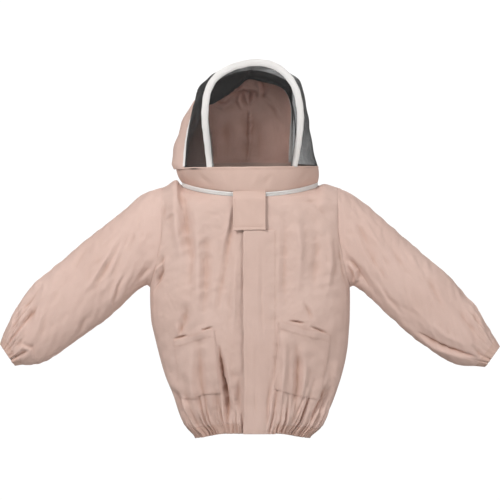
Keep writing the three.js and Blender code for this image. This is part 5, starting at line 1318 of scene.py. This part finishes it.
# ------------------------------------------------------------------ stage
def plane(name, verts, mat):
    me = bpy.data.meshes.new(name); me.from_pydata(verts, [], [(0, 1, 2, 3)]); me.update()
    o = bpy.data.objects.new(name, me); bpy.context.scene.collection.objects.link(o); me.materials.append(mat)
    return o
g = Nodes("pale_floor")
p = g.add("ShaderNodeBsdfPrincipled"); p.inputs["Base Color"].default_value = (0.94, 0.94, 0.94, 1); p.inputs["Roughness"].default_value = 0.9
p.inputs["Base Color"].default_value = (0.5, 0.49, 0.48, 1)
em = g.add("ShaderNodeEmission"); em.inputs["Color"].default_value = (1, 1, 1, 1); em.inputs["Strength"].default_value = 1.03
fl = g.add("ShaderNodeLightPath"); fm = g.add("ShaderNodeMixShader"); g.put(fm.inputs[0], fl.outputs["Is Camera Ray"])
g.put(fm.inputs[1], p.outputs[0]); g.put(fm.inputs[2], em.outputs[0]); g.put(g.out.inputs[0], fm.outputs[0])
floor = plane("floor", [(-90, -90, -0.003), (90, -90, -0.003), (90, 90, -0.003), (-90, 90, -0.003)], g.m)
lights = []
KEY, FILL, FRONT_L, AMB = 61, 46, 14, 0.24
def area(name, loc, size, power, target=(0, 0, 0.6), col=(1, 1, 1)):
    from mathutils import Vector
    l = bpy.data.lights.new(name, "AREA"); l.shape = "RECTANGLE"; l.size, l.size_y = size; l.energy = power; l.color = col
    o = bpy.data.objects.new(name, l); bpy.context.scene.collection.objects.link(o)
    o.location = loc; o.rotation_mode = "QUATERNION"; o.rotation_quaternion = (Vector(target) - Vector(loc)).to_track_quat("-Z", "Y")
    o.visible_camera = False
    lights.append(o)
area("key", (-1.6, -2.3, 2.35), (0.8, 0.8), KEY)
area("fill", (2.6, -2.8, 1.5), (2.0, 2.0), FILL)
area("front", (-0.6, -4.5, 2.2), (2.4, 2.0), FRONT_L)
area("rim", (0.4, 3.4, 2.4), (2.4, 1.6), 44)
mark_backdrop(floor, *lights)
w = bpy.data.worlds.new("studio"); bpy.context.scene.world = w; w.use_nodes = True
nt = w.node_tree; nt.nodes.clear()
bo = nt.nodes.new("ShaderNodeOutputWorld"); bg = nt.nodes.new("ShaderNodeBackground"); lp = nt.nodes.new("ShaderNodeLightPath"); mt = nt.nodes.new("ShaderNodeMath")
bg.inputs[0].default_value = (1, 1, 1, 1)
# the surroundings are pure white to the camera, and light the cloth more from above than from below
tc = nt.nodes.new("ShaderNodeTexCoord"); sx = nt.nodes.new("ShaderNodeSeparateXYZ"); gr = nt.nodes.new("ShaderNodeMath"); mx = nt.nodes.new("ShaderNodeMix")
nt.links.new(tc.outputs["Generated"], sx.inputs[0])
gr.operation = "MULTIPLY_ADD"; gr.inputs[1].default_value = AMB * 0.8; gr.inputs[2].default_value = AMB
nt.links.new(sx.outputs["Z"], gr.inputs[0])
mx.data_type = "FLOAT"; nt.links.new(lp.outputs["Is Camera Ray"], mx.inputs[0]); nt.links.new(gr.outputs[0], mx.inputs[2]); mx.inputs[3].default_value = 1.05
nt.links.new(mx.outputs[0], bg.inputs[1]); nt.links.new(bg.outputs[0], bo.inputs[0])
nt.nodes.remove(mt)
cam = bpy.data.cameras.new("camera"); co = bpy.data.objects.new("camera", cam); bpy.context.scene.collection.objects.link(co)
cam.sensor_width = 36; cam.lens = 36 * 24 / 1.45; cam.clip_end = 400; cam.clip_start = 1
co.location = (0, -24, 0.5452); co.rotation_euler = (math.pi / 2, 0, 0)
co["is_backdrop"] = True
bpy.context.scene.camera = co
bpy.context.scene.view_settings.view_transform = "Standard"

lo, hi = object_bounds()
